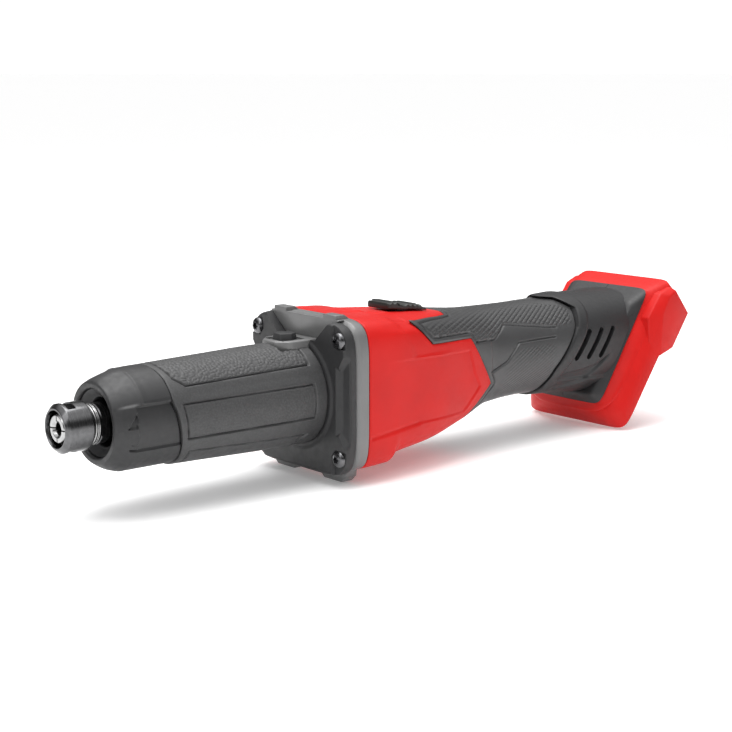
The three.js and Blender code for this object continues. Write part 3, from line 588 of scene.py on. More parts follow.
MATERIALS = {
    "red_nylon": moulded("red_nylon", RED, 0.42, Specular_IOR_Level=0.18),
    "black_nylon": moulded("black_nylon", BLACK, 0.52),
    "switch_nylon": moulded("switch_nylon", (0.012, 0.013, 0.011), 0.40),
    "rubber": moulded("rubber", CHARCOAL, 0.38, grain=2.2, strength=0.4),
    "rubber_grain_and_painted_shade": leather_grain_and_painted_shade("rubber_grain_and_painted_shade", CHARCOAL, 0.54),
    "cast_grey": painted_casting("cast_grey", (0.17, 0.17, 0.17), 0.38),
    "dark_steel": turned_steel("dark_steel", (0.12, 0.12, 0.123), 0.2, 0.08),
    "screw_steel": turned_steel("screw_steel", (0.13, 0.13, 0.135), 0.24, 0.1),
    "bright_steel": turned_steel("bright_steel", (0.38, 0.38, 0.38), 0.2, 0.1),
    "bearing_steel": turned_steel("bearing_steel", (0.58, 0.59, 0.60), 0.22),
    "aluminium": turned_steel("aluminium", (0.66, 0.67, 0.68), 0.35),
    "lamination": turned_steel("lamination", (0.24, 0.25, 0.26), 0.45, 0.5),
    "copper": turned_steel("copper", (0.66, 0.30, 0.15), 0.35, 0.5),
    "brass": turned_steel("brass", (0.72, 0.52, 0.24), 0.28),
    "circuit_board": moulded("circuit_board", (0.03, 0.16, 0.08), 0.35),
    "potting": moulded("potting", (0.03, 0.03, 0.035), 0.30, grain=0.6),
    "wire_red": moulded("wire_red", (0.45, 0.03, 0.03), 0.5),
    "wire_white": moulded("wire_white", (0.72, 0.72, 0.70), 0.5),
    "wire_blue": moulded("wire_blue", (0.04, 0.09, 0.38), 0.5),
    "white_nylon": moulded("white_nylon", (0.70, 0.69, 0.66), 0.5),
}

SLOT_OF = {part["node"]: part["material_slot"] for part in frame["record"]["subparts"]}


def dress(obj, material, sharp=34):
    obj.data.materials.clear()
    obj.data.materials.append(MATERIALS[material])
    obj.data.shade_smooth()
    obj.data.set_sharp_from_angle(angle=math.radians(sharp))


def stands_for(obj, node, material=None, sharp=34):
    """Finish a piece and let it stand for its CAD node, on the same body."""
    obj.name = node + "_surface"
    obj.data.name = obj.name
    dress(obj, material or SLOT_OF[node], sharp)
    body = next(name for name, nodes in frame["record"]["behaviour"]["bodies"].items() if node in nodes)
    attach(obj, body)
    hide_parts(node)
    return obj


# ---------------- camera

def add_camera():
    """The viewing angle: from the front left, a little above the spindle."""
    heading = math.radians(49.835)
    drop = math.radians(10.396)
    distance = 850.4
    target = Vector(place((186.56, 0, 7.55)))
    level = math.cos(drop)
    forward = Vector((math.cos(heading) * level, math.sin(heading) * level, -math.sin(drop)))
    camera = add_object("camera", bpy.data.cameras.new("camera"))
    camera.data.lens = 78.7
    camera.data.sensor_width = 36
    camera.rotation_euler = forward.to_track_quat("-Z", "Y").to_euler()
    camera.location = target - forward * distance * MM
    bpy.context.scene.camera = camera


add_camera()


# ---------------- collet, nut, spindle and seal

def make_collet_nut():
    profile = eased([
        (0, 8.9), (0, 9.7), (2.0, NUT_RADIUS), (13.9, NUT_RADIUS), (14.8, NUT_RADIUS - 0.9), (14.8, 8.8),
        (1.6, 8.6),
    ], 0.25)
    flat_height = 9.9
    flats = [block((3.4, 7.8), (-12, 12), (flat_height * side, 13 * side)) for side in (-1, 1)]
    stands_for(cut(turned("nut", profile, 128), *flats), "collet_nut", sharp=24)


def make_collet():
    profile = eased([
        (0.9, 4.3), (2.1, 3.05), (26, 3.05), (26, 4.3), (12, 5.2), (5, 7.3), (2.3, 7.3), (0.9, 6.3),
    ], 0.2)
    wide, slit = (-9, 9), (-0.33, 0.33)
    slots = [block((0, 17), wide, slit), block((0, 17), slit, wide)]
    stands_for(cut(turned("collet", profile, 96), *slots), "collet", sharp=28)


def make_spindle():
    profile = [
        (26.3, 0), (26.3, 4.6), (12, 5.5), (8.5, 6.75), (8.5, 8.2), (19.3, 8.2), (19.3, 9.5), (19.7, 9.85),
        (27.2, 9.85), (27.6, 9.5), (28.4, 9.5), (28.8, 9.85), (35.7, 9.85), (35.7, 7.4), (117.7, 7.4),
        (117.7, 5.9), (126.6, 5.9), (126.6, 4.9), (133.6, 4.9), (133.6, 0),
    ]
    spindle = turned("spindle", profile, 96)
    flats = [block((19, 27.4), (8.6 * side, 12 * side), (-12, 12)) for side in (-1, 1)]
    stands_for(cut(spindle, *flats), "spindle", sharp=24)
    collar = turned("collar", eased([
        (15.5, 8.5), (15.5, 9.3), (16.2, 9.95), (17.0, 9.95), (17.15, 9.8), (17.3, 9.95), (17.7, 9.95),
        (17.85, 9.8), (18.0, 9.95), (18.5, 9.95), (19, 9.4), (19, 8.5),
    ], 0.12, 2), 112)
    stands_for(collar, "spindle_collar", sharp=40)


def make_dust_seal():
    seal = turned("seal", eased([
        (21.8, 16.1), (24.9, 12.7), (25.2, 12.0), (26.2, 11.6), (31.6, 11.6), (32.4, 10.3), (35.2, 10.3),
        (35.2, 15.9), (33.2, 15.9), (33, 16.1),
    ], 0.3), 128)
    stands_for(seal, "dust_seal")


# ---------------- nose cap and grip sleeve

BARREL_PROFILE = [(34, 24.35), (40, 24.7), (51.7, 25), (80, 25.8), (107, 26.6), (131, 26.9), (139.2, 27)]


JOINT_LINE = [(0, 47.9), (36, 49.7), (64, 49.9), (82, 52), (115, 54.7), (140, 56.9), (180, 57.4)]


def barrel_radius(x):
    return straight_curve(x, BARREL_PROFILE)


def joint_line(degrees):
    """Where the nose cap meets the sleeve: further back under the barrel than on top."""
    return straight_curve(np.abs(degrees), JOINT_LINE)


def barrel_rows(share, front, rear, radius, count):
    """Rings of the barrel between two end curves, each given as x by the degrees from the top."""
    degrees = np.arange(count) * 360 / count
    degrees = np.where(degrees > 180, degrees - 360, degrees)
    x = front(degrees) + share[:, None] * (rear(degrees) - front(degrees))
    return circles(x, radius(x, degrees), np.radians(degrees))


# The nose cap's radius along its top, its shoulders and its sides, and its bore, as (x, r).
NOSE_TOP = [(20, 18.8), (20.6, 19.8), (24, 21.6), (29, 23.3), (34, 24.2), (40, 24.7)]
NOSE_SHOULDER = [
    (20, 19.2), (20.15, 19.65), (20.5, 19.95), (24, 21.4), (33.4, 24.0), (34.3, 24.55), (36, 24.6),
]
NOSE_SIDE = [(20, 19.2), (21, 20.0), (23.5, 21.6), (26, 22.8), (30, 24.0)]
NOSE_BORE = [
    (20, 18.6), (20.05, 17.6), (20.2, 17.1), (20.6, 16.7), (21.2, 16.4), (26, 16.4), (30, 16.4),
    (33.2, 16.9), (33.3, 20.8), (51.0, 20.8),
]
SHOULDER_REAR = 34.3


def make_nose_cap():
    panel_edges = unrolled([(30.2, 65), (70, 65), (70, 117), (30.2, 117)], NOSE_RADIUS)
    notch_edges = unrolled([(30.2, 71.8), (25.2, 90.7), (30.2, 90.7)], NOSE_RADIUS)
    seam_line = unrolled([(27, 117), (70, 117)], NOSE_RADIUS)
    ledge_line = unrolled([(34, 64), (70, 64)], NOSE_RADIUS)
    tick_line = unrolled([(27.4, 110), (30.4, 110.4)], NOSE_RADIUS)

    def radius(x, degrees):
        degrees = np.abs(degrees) + 0 * x
        around = degrees * (NOSE_RADIUS * math.pi / 180)
        barrel = barrel_radius(x)
        cheek = np.where(x < SHOULDER_REAR, straight_curve(x, NOSE_SHOULDER), np.maximum(24.55, barrel))
        slim = np.minimum(straight_curve(x, NOSE_SIDE), barrel)
        side = step_up(degrees, 61, 66)
        form = cheek * (1 - side) + slim * side
        domed = np.minimum(smooth_curve(x, NOSE_TOP), barrel)
        crown = 1 - step_up(degrees, 6, 16)
        form = form * (1 - crown) + domed * crown
        recess = step_up(-outline_distance(x, around, panel_edges), 0, 0.4)
        recess = recess * straight_curve(degrees, [(65, 1.15), (80, 0.9), (117, 0.55)])
        notch = step_up(-outline_distance(x, around, notch_edges), -0.1, 0.4)
        seam = ridge(line_distance(x, around, seam_line), 0.8)
        ledge = ridge(line_distance(x, around, ledge_line), 0.6)
        tick = ridge(line_distance(x, around, tick_line), 0.4)
        low_lip = 0.25 * step_up(degrees, 113, 119)
        return form + low_lip - recess - 1.5 * notch - 0.9 * seam + 0.3 * ledge - 0.4 * tick

    count = 400
    share = np.concatenate([[0, 0.005, 0.016], np.linspace(0.03, 0.985, 88), [0.993, 1.0]])
    outer = barrel_rows(share, lambda d: NOSE_FRONT + 0 * d, lambda d: joint_line(d) - 0.35, radius, count)
    rear_edge = step_up(share, 0.985, 1.0)[:, None]
    outer = pushed_in(outer, 0.35 * rear_edge)
    bore_x, bore_radius = np.array(NOSE_BORE, float).T[..., None]
    inner = circles(bore_x, bore_radius, np.arange(count) * 2 * np.pi / count)
    inner[-1, :, 0] = outer[-1, :, 0] - 0.2
    stands_for(ring_shell("nose", outer, inner), "nose_cap", sharp=50)


def make_grip_sleeve():
    top_panel = unrolled([
        (51.9, -30), (51.9, 12.8), (54.1, 39.6), (59, 51), (131.8, 49), (132.2, 36), (132.2, -30),
    ], GRIP_RADIUS)
    side_panel = unrolled([(55.2, 71.2), (131.5, 72), (131.9, 108.8), (57.6, 111), (57.2, 104)], GRIP_RADIUS)
    low_panel = unrolled([
        (61, 215), (60.8, 141), (60.5, 129.5), (130.8, 132.5), (127.5, 141), (127.5, 215),
    ], GRIP_RADIUS)

    def radius(x, degrees):
        degrees = np.abs(degrees)
        around = degrees * (GRIP_RADIUS * math.pi / 180) + 0 * x
        top = outline_distance(x, around, top_panel)
        side = outline_distance(x, around, side_panel)
        low = outline_distance(x, around, low_panel)
        grooves = 1.1 * np.maximum.reduce([ridge(top, 0.85), ridge(side, 0.85), ridge(low, 0.85)])
        pebbles = leather(x, around, 2.1)
        raised = step_up(-top, 0.5, 1.2) * 0.26 * (pebbles - 0.75)
        raised = raised + step_up(-side, 0.8, 2) * 0.10 * (leather(x, around, 1.7) - 0.5)
        dished = 0.3 * step_up(-side, 0.3, 1.4)
        facet = 0.25 * ridge(degrees - 61, 9) * step_up(x, 56, 62)
        front_edge = 0.4 * (1 - step_up(x - joint_line(degrees), 0.0, 0.7))
        rear_edge = 0.5 * step_up(x, SLEEVE_REAR - 0.8, SLEEVE_REAR)
        return barrel_radius(x) - grooves + raised - dished - facet - front_edge - rear_edge

    count = 440
    outer = barrel_rows(np.linspace(0, 1, 250), joint_line, lambda d: SLEEVE_REAR + 0 * d, radius, count)
    inner = barrel_rows(
        np.linspace(0, 1, 4), lambda d: joint_line(d) + 0.1, lambda d: SLEEVE_REAR - 0.1 + 0 * d,
        lambda x, d: TUBE_CLEARANCE + 0 * x, count)
    sleeve = ring_shell("sleeve", outer, inner)
    cut(sleeve, block((121.4, 141), (-11.6, 11.6), (15, 40)))
    stands_for(sleeve, "grip_sleeve", "rubber_grain_and_painted_shade", sharp=50)


# ---------------- flange, casting, lock and screws

VEE_OUTLINE = [(-15, 28), (15, 28), (29, 41), (-29, 41)]
SCREW_POCKET = [(29.4, 44), (28.2, 29), (31.0, 25.8), (44, 25.8), (44, 44)]
SCREW_HOLE = 2.3
FLANGE_HALF_WIDTH = 39.7
FLANGE_HALF_HEIGHT = 39.8
FLANGE_MIDDLE = -0.8


def screw_holes(radius, low, high):
    return [rod("x", spot, radius, low, high) for spot in SCREW_PLACES]


def make_front_flange():
    count = 840
    top, bottom = FLANGE_MIDDLE + FLANGE_HALF_HEIGHT, FLANGE_MIDDLE - FLANGE_HALF_HEIGHT
    outer_y, outer_z, _ = even_ring(FLANGE_HALF_WIDTH, top, bottom, 6, count)
    direction = np.stack([outer_y, outer_z], -1)
    reach = np.linalg.norm(direction, axis=1)
    unit = direction / reach[:, None]

    def front_depth(y, z):
        """How far the front face stands back from its foremost level."""
        side, height = np.abs(y), np.abs(z - FLANGE_MIDDLE)
        fillet = -0.9 * (1 - step_up(np.hypot(y, z), 27.8, 30.5))
        corner = 12.0
        past = np.stack([side - FLANGE_HALF_WIDTH, height - FLANGE_HALF_HEIGHT]) + corner
        from_edge = corner - np.hypot(*np.maximum(past, 0)) - np.minimum(past.max(axis=0), 0)
        rim = 2.4 * np.clip(1 - from_edge / 2.4, 0, 1)**1.7
        stepped = straight_curve(side, [(31.6, 0), (34.9, 2.1), (35.3, 2.25), (39.7, 3.3)])
        ends = np.clip((17.6 + 1.5 * np.clip(side - 34, 0, 6) - height) * 0.75, 0, 9)
        step = np.minimum(stepped, ends)
        pocket = outline_distance(side, np.abs(z), SCREW_POCKET)
        depth = np.maximum(rim, step)
        return np.maximum(depth, 1.2 * step_up(-pocket, 0, 0.5)) + fillet

    rows = []
    for share in np.concatenate([np.linspace(0, 0.985, 74), [0.992, 1.0]]):
        distance = TUBE_CLEARANCE + share * (reach - 0.35 - TUBE_CLEARANCE)
        y, z = (unit * distance[:, None]).T
        edge = 0.3 * step_up(share, 0.975, 1.0)
        rows.append(np.stack([FLANGE_FRONT + front_depth(y, z) + edge, y, z], -1))
    side_rows = [
        (FLANGE_FRONT + 3.5, 0.05), (FLANGE_FRONT + 3.8, 0), (FLANGE_REAR - 0.5, 0), (FLANGE_REAR, 0.5)]
    for x, inset in side_rows:
        y, z = (unit * (reach - inset)[:, None]).T
        rows.append(np.stack([np.maximum(x, rows[-1][:, 0] + 0.02), y, z], -1))
    y, z = (unit * TUBE_CLEARANCE).T
    rows.append(np.stack([FLANGE_REAR + 0 * y, y, z], -1))
    rows = np.array(rows)
    flange = mesh_object("flange", rows.reshape(-1, 3), grid_faces(rows.shape[0], count, True))
    through = (FLANGE_FRONT - 9, FLANGE_REAR + 1)
    cut(
        flange, prism(VEE_OUTLINE, "yzx", *through), block(through, (-11.3, 11.3), (15, 30)),
        *screw_holes(SCREW_HOLE, FLANGE_FRONT - 6, FLANGE_REAR + 1))
    stands_for(flange, "front_flange", sharp=38)


TAB_OUTLINE = [
    (149, -11), (149, 11), (129.5, 11), (127.6, 10.4), (126.2, 9.2), (122.6, 5.4), (122.1, 4.2),
    (122.1, -4.2), (122.6, -5.4), (126.2, -9.2), (127.6, -10.4), (129.5, -11),
]
LUG_OUTLINE = [(145, 34), (145, 41.5), (151.2, 41.5), (155, 38.8), (155, 34)]
FOOT_OUTLINE = [(8, -36), (8.6, -41), (12.4, -44.5), (26.8, -44.5), (30.6, -41), (31.2, -36)]


def make_front_housing():
    stations = np.array([147.35, 147.45, 148.9, 149.1, 150.5, 152, 154, 154.6, 154.9])
    rows, _ = body_rows(stations, 0, 420)
    edge = np.array([1.6, 1.45, 0.12, 0, 0, 0, 0, 0.12, 0.4])
    casting = capped("casting", pushed_in(rows, edge[:, None]))
    vee = [(y, min(z, 39.3)) for y, z in grown(VEE_OUTLINE, -GAP)]
    bosses = [bevelled(prism(vee, "yzx", 145, 149), 0.5)]
    for side in (-1, 1):
        ends = sorted((side * 15.3, side * 25.4))
        bosses.append(bevelled(prism(LUG_OUTLINE, "xzy", *ends), 0.6, 3))
        foot = [(side * y, z) for y, z in FOOT_OUTLINE]
        bosses.append(bevelled(prism(foot, "yzx", 147.4, 154.8), 0.9, 3))
    bosses.append(bevelled(prism(TAB_OUTLINE, "xyz", 22.4, 28.3), 1.0, 3))
    bosses.append(rod("x", (0, 0), 14.4, 140.4, 151, sides=64))
    joined(casting, *bosses)
    cavity = capped("cutter", body_rows(np.array([150.4, 153.0, 156.0]), 4, 200)[0])
    bearing_room = rod("x", (0, 0), 11.3, 141.7, 160, sides=64)
    spindle_room = rod("x", (0, 0), 9, 139, 151, sides=64)
    button_room = block((125.4, 139.8), (-7.8, 7.8), (20, 40))
    cut(casting, cavity, bearing_room, spindle_room, button_room, *screw_holes(SCREW_HOLE, 139, 156))
    stands_for(casting, "front_housing", sharp=34)


def stand_up(piece, foot, rotation):
    """Turn a piece made along the spindle about the collet face's centre, and move that point to foot."""
    piece.data.transform(Matrix.Translation(place(foot)) @ rotation @ Matrix.Translation(-Vector(ORIGIN)))


def make_lock_button():
    base = bevelled(prism([
        (125.8, -4.6), (128.4, -7.4), (139.2, -7.4), (139.2, 7.4), (128.4, 7.4), (125.8, 4.6),
    ], "xyz", 24.6, 28.0, name="lock"), 0.45)
    crown = prism(round_outline((LOCK_X, 0), 6.6, 6, math.pi / 6), "xyz", 27.4, 31.3)
    taper = 0.14
    middle, _, halfway = place((LOCK_X, 0, 30))
    for vertex in crown.data.vertices:
        if vertex.co.z > halfway:
            vertex.co.x += (middle - vertex.co.x) * taper
            vertex.co.y *= 1 - taper
    joined(base, bevelled(crown, 0.5))
    stands_for(base, "lock_button", sharp=30)
    pin = turned("pin", [(0, 0), (0, 1.7), (0.3, 2), (12.1, 2), (12.4, 1.7), (12.4, 0)], 40)
    stand_up(pin, (LOCK_X, 0, 11.9), Matrix.Rotation(-math.pi / 2, 4, "Y"))
    stands_for(pin, "lock_pin")


def make_flange_screws():
    seat = FLANGE_FRONT + 1.1
    crest = seat - 2.7
    arc = np.radians(np.arange(10, 91, 10))
    dome = zip(crest + 2.3 * (1 - np.cos(arc)), 0.6 + 3.8 * np.sin(arc))
    profile = [
        (crest, 0), (crest, 1.2), *dome, (seat - 0.1, 4.4), (seat, 4.3), (seat, 2), (172, 2), (172, 0)]
    for number, (y, z) in enumerate(SCREW_PLACES, 1):
        screw = turned("screw", profile, 64)
        cut(screw, prism(star_outline(1.85, 0.38), "yzx", seat - 4, seat - 1.2))
        screw.data.transform(Matrix.Translation((0, y * MM, z * MM)))
        stands_for(screw, f"flange_screw_{number}", "screw_steel", sharp=30)


# ---------------- red motor housing

RED_PANEL = [
    (140, 18), (204.5, 16), (233.8, 15), (238, 2), (243, -6), (231, -19), (191, -18.2), (140, -21.6),
]
SHOULDER_LINE = [(17, 187.5), (19.9, 186.8), (28.6, 182.4), (33.5, 179), (45, 176.5)]  # z, x


def grip_room(margin):
    """The side view of the rubber grip, grown by a margin and pushed right through the tool."""
    return prism(grown(GRIP_OUTLINE, margin), "xzy", -PAST_SIDES, PAST_SIDES)


def make_motor_housing():
    count = 470
    front = CASTING_REAR + GAP
    stations = np.concatenate([[front, front + 0.15, front + 0.4], np.linspace(front + 0.8, 258, 175)])
    rows, _ = body_rows(stations, 0, count)
    x, y, z = np.moveaxis(rows, -1, 0)
    panel = outline_distance(x, z, RED_PANEL)
    dished = 0.75 * step_up(-panel, -0.3, 0.7) * step_up(x - 0.4 * z, 158, 192)
    behind_shoulder = x - straight_curve(z, SHOULDER_LINE)
    shoulder = 0.8 * step_up(behind_shoulder, -3, 3) * step_up(z, 15.5, 18) * (1 - step_up(x, 196, 226))
    crease = 0.6 * ridge(line_distance(x, z, [(157, -20.7), (191, -18.2)]), 1.6)
    wedge_half = 3.5 + (x - front) * 0.16
    beside_wedge = step_up(np.abs(y) - wedge_half, 0, 0.9) * step_up(z, 30, 35)
    saddle = 0.8 * beside_wedge * ridge(x - 181, 24)
    on_tongue = (z > 27) & (np.abs(y) < 24) & (x < 240)
    grip_border = np.where(on_tongue, PAST_SIDES, np.abs(outline_distance(x, z, GRIP_OUTLINE)))
    tongue_border = np.where(z < 27, PAST_SIDES, np.abs(outline_distance(x, y, TONGUE_OUTLINE)))
    border = np.minimum(grip_border, tongue_border)
    edge = 0.35 * (1 - step_up(border, 0.15, 0.9))
    front_edge = np.interp(x, [front, front + 0.4, front + 0.8], [0.4, 0.08, 0])
    outer = pushed_in(rows, dished + shoulder + crease + saddle + edge + front_edge)
    inner, _ = body_rows(np.array([front, 170, 190, 215, 240, 258.0]), HOUSING_WALL, count)
    housing = ring_shell("housing", outer, inner)
    beside_tongue = cut(grip_room(GAP), prism(TONGUE_OUTLINE, "xyz", 28, 60))
    cut(housing, beside_tongue, block(*SWITCH_SLOT), *screw_holes(4.6, 150, 158))
    stands_for(housing, "motor_housing", sharp=44)


# ---------------- handle: rubber overmould and shroud halves

UPPER_GROOVE = [(239.8, 18.1), (256.9, 17.7), (268.6, 24.5), (307.4, 19.2)]
LOWER_GROOVE = [(252.9, 0), (265.7, 4.4), (276, 13.8), (305.4, 14)]


def handle_rods(radius, low, high):
    return [rod("y", spot, radius, low, high) for spot in HANDLE_SCREWS]


def scales(along, across, pitch):
    """Raised scales in slanting rows, 0 in the furrows between the rows and 1 on each top."""
    p = (along + across * 1.6) * math.pi / pitch
    q = (along * 0.6 - across) * math.pi / pitch
    return step_up(np.minimum(np.abs(np.sin(p)), 0.25 + 0.75 * np.abs(np.sin(q))), 0.05, 0.7)


def make_handle_overmold():
    count = 480
    stations = np.arange(187.5, 330.6, 0.42)
    rows, around = body_rows(stations, 0, count)
    x, y, z = np.moveaxis(rows, -1, 0)
    side_border = outline_distance(x, z, GRIP_OUTLINE)
    tongue_border = np.where(z > 26, outline_distance(x, y, TONGUE_OUTLINE), 99)
    inside = np.minimum(-side_border, tongue_border)
    edge = 0.45 * (1 - step_up(inside, 0.1, 0.9))
    plain_stretch = (x > 238.6) & (x < 253.5) & (z < 17.5) & (z > -0.5)
    border_groove = ridge(inside - 2.9, 0.8) * (x < 262) * ~plain_stretch
    to_groove = np.minimum(line_distance(x, z, UPPER_GROOVE), line_distance(x, z, LOWER_GROOVE))
    grooves = ridge(to_groove, 0.85)
    upper_z = straight_curve(x, UPPER_GROOVE)
    lower_z = straight_curve(x, LOWER_GROOVE)
    above = step_up(z - upper_z, 0.6, 1.2) * step_up(inside, 3.3, 3.9)
    above = above * (1 - 0.75 * step_up(z, 29.5, 32))
    between = step_up(upper_z - z, -0.4, 0.6) * step_up(z - lower_z, -0.4, 0.6) * step_up(x, 252, 254)
    between = between * (1 - step_up(x, 303, 307))
    below = step_up(lower_z - z, 2, 5) * step_up(z, -16, -9)
    below = below * step_up(x, 262, 268) * (1 - step_up(x, 300, 308))
    large_scales = (0.3 - 0.5 * scales(x, around, 4.2)) * above
    small_scales = (0.15 - 0.25 * scales(x, around, 3.4)) * below
    rear_edge = 0.3 * (1 - step_up(-side_border, 0, 0.8)) * (x > 300)
    lowered = edge + border_groove + grooves + 0.45 * between + rear_edge
    outer = pushed_in(rows, lowered + large_scales + small_scales)
    inner, _ = body_rows(np.array([187.5, 205, 225, 245, 262, 290, 330.6]), HOUSING_WALL, count)
    skin = ring_shell("overmold", outer, inner)
    kept_inside(skin, grip_room(0))
    cut(skin, prism(grown(TONGUE_OUTLINE, GAP), "xyz", 27, 60), *handle_rods(3.6, 14.7, PAST_SIDES))
    stands_for(skin, "handle_overmold", sharp=50)


ARCH_REAR_EDGE = [
    (334.5, 60), (334.3, 33), (332.8, 25.5), (328.0, 14), (311.5, -8), (309.0, -14), (400, -14), (400, 60),
]
HOLLOW_OUTLINE = [
    (300, -9.2), (314, -8.9), (325, -8.2), (337, -5.6), (350, 2), (338, -10), (332, -15.2), (322, -18.2),
    (300, -21),
]
VENT_PLACES = (326.6, 336.0, 345.4)
VENT_LENGTH = 21
SHORT_VENT_LENGTH = 16  # beside the handle screws
# Rings of the black plate in front of the foot: depth from the border, low, high, narrow, wide.
PLATE_RINGS = [
    (-6.4, 174.5, 232, 23, 25.4),
    (-6.0, 173.4, 234.6, 24.3, 27.2),
    (-5.4, 173.0, 235.6, 24.9, 27.8),
    (-1.2, 171.7, 244.9, 27.2, 30.6),
    (-0.6, 171.5, 246.2, 27.4, 30.9),
    (-0.35, 172.0, 245.9, 27.0, 30.5),
]


def border_wedge(behind):
    """Everything behind the tilted border plane, moved by `behind` towards the battery."""
    below, above, far = 100, 300, 500
    edge = [(FOOT_FRONT + behind + BORDER_LEAN * (BORDER_TOP - t), t) for t in (below, above)]
    return prism([edge[0], (far, below), (far, above), edge[1]], "xzy", -90, 90, foot_frame)


def vent(centre, length, near, far):
    """A slanting slot whose foot stays in place, whatever its length."""
    lean = Matrix.Rotation(-FOOT_TILT, 2)
    middle = Vector((centre, 7.2)) + lean @ Vector((0, (length - VENT_LENGTH) / 2))
    outline = [tuple(middle + lean @ Vector(point)) for point in rounded_slot(length, 3.2)]
    return prism(outline, "xzy", near, far)


def make_handle_halves():
    count = 380
    stations = np.arange(297, 388.1, 0.6)
    rows, _ = body_rows(stations, 0, count, SHROUD_SECTIONS)
    x, _, z = np.moveaxis(rows, -1, 0)
    behind_arch = 1.2 * step_up(-outline_distance(x, z, ARCH_REAR_EDGE), -0.5, 1.2)
    front_edge = 0.4 * (1 - step_up(outline_distance(x, z, GRIP_OUTLINE), 0.2, 1.2))
    hollow = outline_distance(x, z, HOLLOW_OUTLINE)
    creases = 1.3 * step_up(-hollow, -0.2, 1.4) * step_up(x, 309, 318)
    outer = pushed_in(rows, behind_arch + front_edge + creases)
    inner, _ = body_rows(np.linspace(297, 388, 5), SHROUD_WALL, count, SHROUD_SECTIONS)
    shroud = ring_shell("shroud", outer, inner)
    cut(shroud, grip_room(GAP), border_wedge(-3))

    plate = capped("plate", np.array([foot_ring(FOOT_FRONT + depth, *ring) for depth, *ring in PLATE_RINGS]))
    opening = dict(low=178, high=230, narrow=20, wide=25)
    cut(plate, capped("cutter", np.array([foot_ring(FOOT_FRONT + depth, **opening) for depth in (-12, 1)])))
    joined(shroud, plate)
    inside, _ = body_rows(np.linspace(300, 372, 5), SHROUD_WALL, 120, SHROUD_SECTIONS)
    cut(shroud, capped("cutter", inside))
    for centre in VENT_PLACES:
        cut(
            shroud, vent(centre, VENT_LENGTH, -PAST_SIDES, 0),
            vent(centre, SHORT_VENT_LENGTH, 0, PAST_SIDES))

    core_outer, _ = body_rows(np.linspace(185.5, 330, 60), HANDLE_INSET, 200)
    core_inner, _ = body_rows(np.linspace(185.5, 330, 12), HANDLE_INSET + 2.4, 200)
    core = ring_shell("core", core_outer, core_inner)
    cut(core, block(*SWITCH_SLOT))
    in_grip, _ = body_rows(np.linspace(250, 308, 12), HANDLE_INSET + 0.8, 200)
    in_shroud, _ = body_rows(np.linspace(322, 372, 8), 1.8, 200, SHROUD_SECTIONS)
    within = joined(capped("cutter", in_grip), capped("cutter", in_shroud))
    joined(shroud, core, kept_inside(joined(*handle_rods(5.2, 12.8, 40)), within))
    cut(shroud, *handle_rods(3.4, 14.7, PAST_SIDES))

    right = add_object("right", shroud.data.copy())
    half_gap = 0.12
    cut(shroud, block((100, 500), (-half_gap, 90), (-90, 90)))
    cut(right, block((100, 500), (-90, half_gap), (-90, 90)))
    stands_for(shroud, "handle_left", sharp=36)
    stands_for(right, "handle_right", sharp=36)


def make_handle_screws():
    profile = [
        (-5.2, 0), (-5.2, 1.2), (-4.6, 1.6), (14.8, 1.6), (14.8, 2.9), (15.0, 3.1), (16.6, 3.1), (17.1, 2.7),
        (17.2, 0),
    ]
    for number, (x, z) in enumerate(HANDLE_SCREWS, 1):
        screw = turned("screw", profile, 48)
        cut(screw, prism(star_outline(1.25, 0.26), "yzx", 15.4, 18))
        stand_up(screw, (x, 0, z), Matrix.Rotation(math.pi / 2, 4, "Z"))
        stands_for(screw, f"handle_screw_{number}", "screw_steel", sharp=30)


# ---------------- slide switch

SWITCH_HEIGHTS = [
    (194.5, 3.0), (195.6, 4.25), (198, 4.6), (201, 4.4), (204, 2.9), (207, 2.2), (210.5, 3.7), (215, 3.7),
    (219, 2.8), (222.5, 1.4),
]
SWITCH_MIDDLE = 206.0


def make_switch_slider():
    """A saddle-shaped thumb slide with ribs across its front hump and its rear ramp."""
    count = 200
    stations = np.concatenate([
        [SWITCH_FRONT, SWITCH_FRONT + 0.15, SWITCH_FRONT + 0.5],
        np.linspace(SWITCH_FRONT + 1, SWITCH_REAR - 0.6, 150), [SWITCH_REAR - 0.25, SWITCH_REAR]])
    tops = [(section[0], section[2]) for section in BODY_SECTIONS]
    under = smooth_curve(np.array([SWITCH_MIDDLE]), tops)[0] + 0.22
    height = smooth_curve(stations, SWITCH_HEIGHTS)
    ribbed = (ridge(stations - 199, 4) > 0.02) | (ridge(stations - 216, 7) > 0.02)
    ribs = 2.0 * np.abs(np.sin((stations - 195) * math.pi / 2.9)) * ribbed
    ends = np.minimum(np.minimum(stations - SWITCH_FRONT, SWITCH_REAR - stations), 1.0)
    inset = 0.7 * (1 - np.sqrt(np.clip(1 - (1 - ends)**2, 0, 1)))
    rows = np.empty((len(stations), count, 3))
    for i, x in enumerate(stations):
        floor = under - SWITCH_SLOPE * (x - SWITCH_MIDDLE)
        top = floor + height[i] - ribs[i] * 0.6 - inset[i]
        y, z, _ = even_ring(SWITCH_HALF_WIDTH - inset[i], top, floor + 0.02, 7, count)
        waist = 1 - 0.07 * ridge(x - 209.5, 6)
        rows[i] = np.stack([np.full(count, x), y * waist, z], 1)
    slider = capped("slider", rows)
    stem = block((204, 211), (-4.4, 4.4), (29.2, under + 1))
    joined(slider, bevelled(stem, 0.3))
    stands_for(slider, "switch_slider", "switch_nylon", sharp=40)


# ---------------- battery foot

# The side pads, as (n, t): where they leave the foot, and their outer face.
WING_FOOT = [(294, 246), (299.6, 254), (WING_REAR, 248), (WING_REAR, 224), (310, 211), (293.4, 228.8)]
WING_FACE = [(298.6, 247.6), (301.2, 253), (WING_REAR, 248), (WING_REAR, 224), (312.7, 214.7), (299.4, 236)]
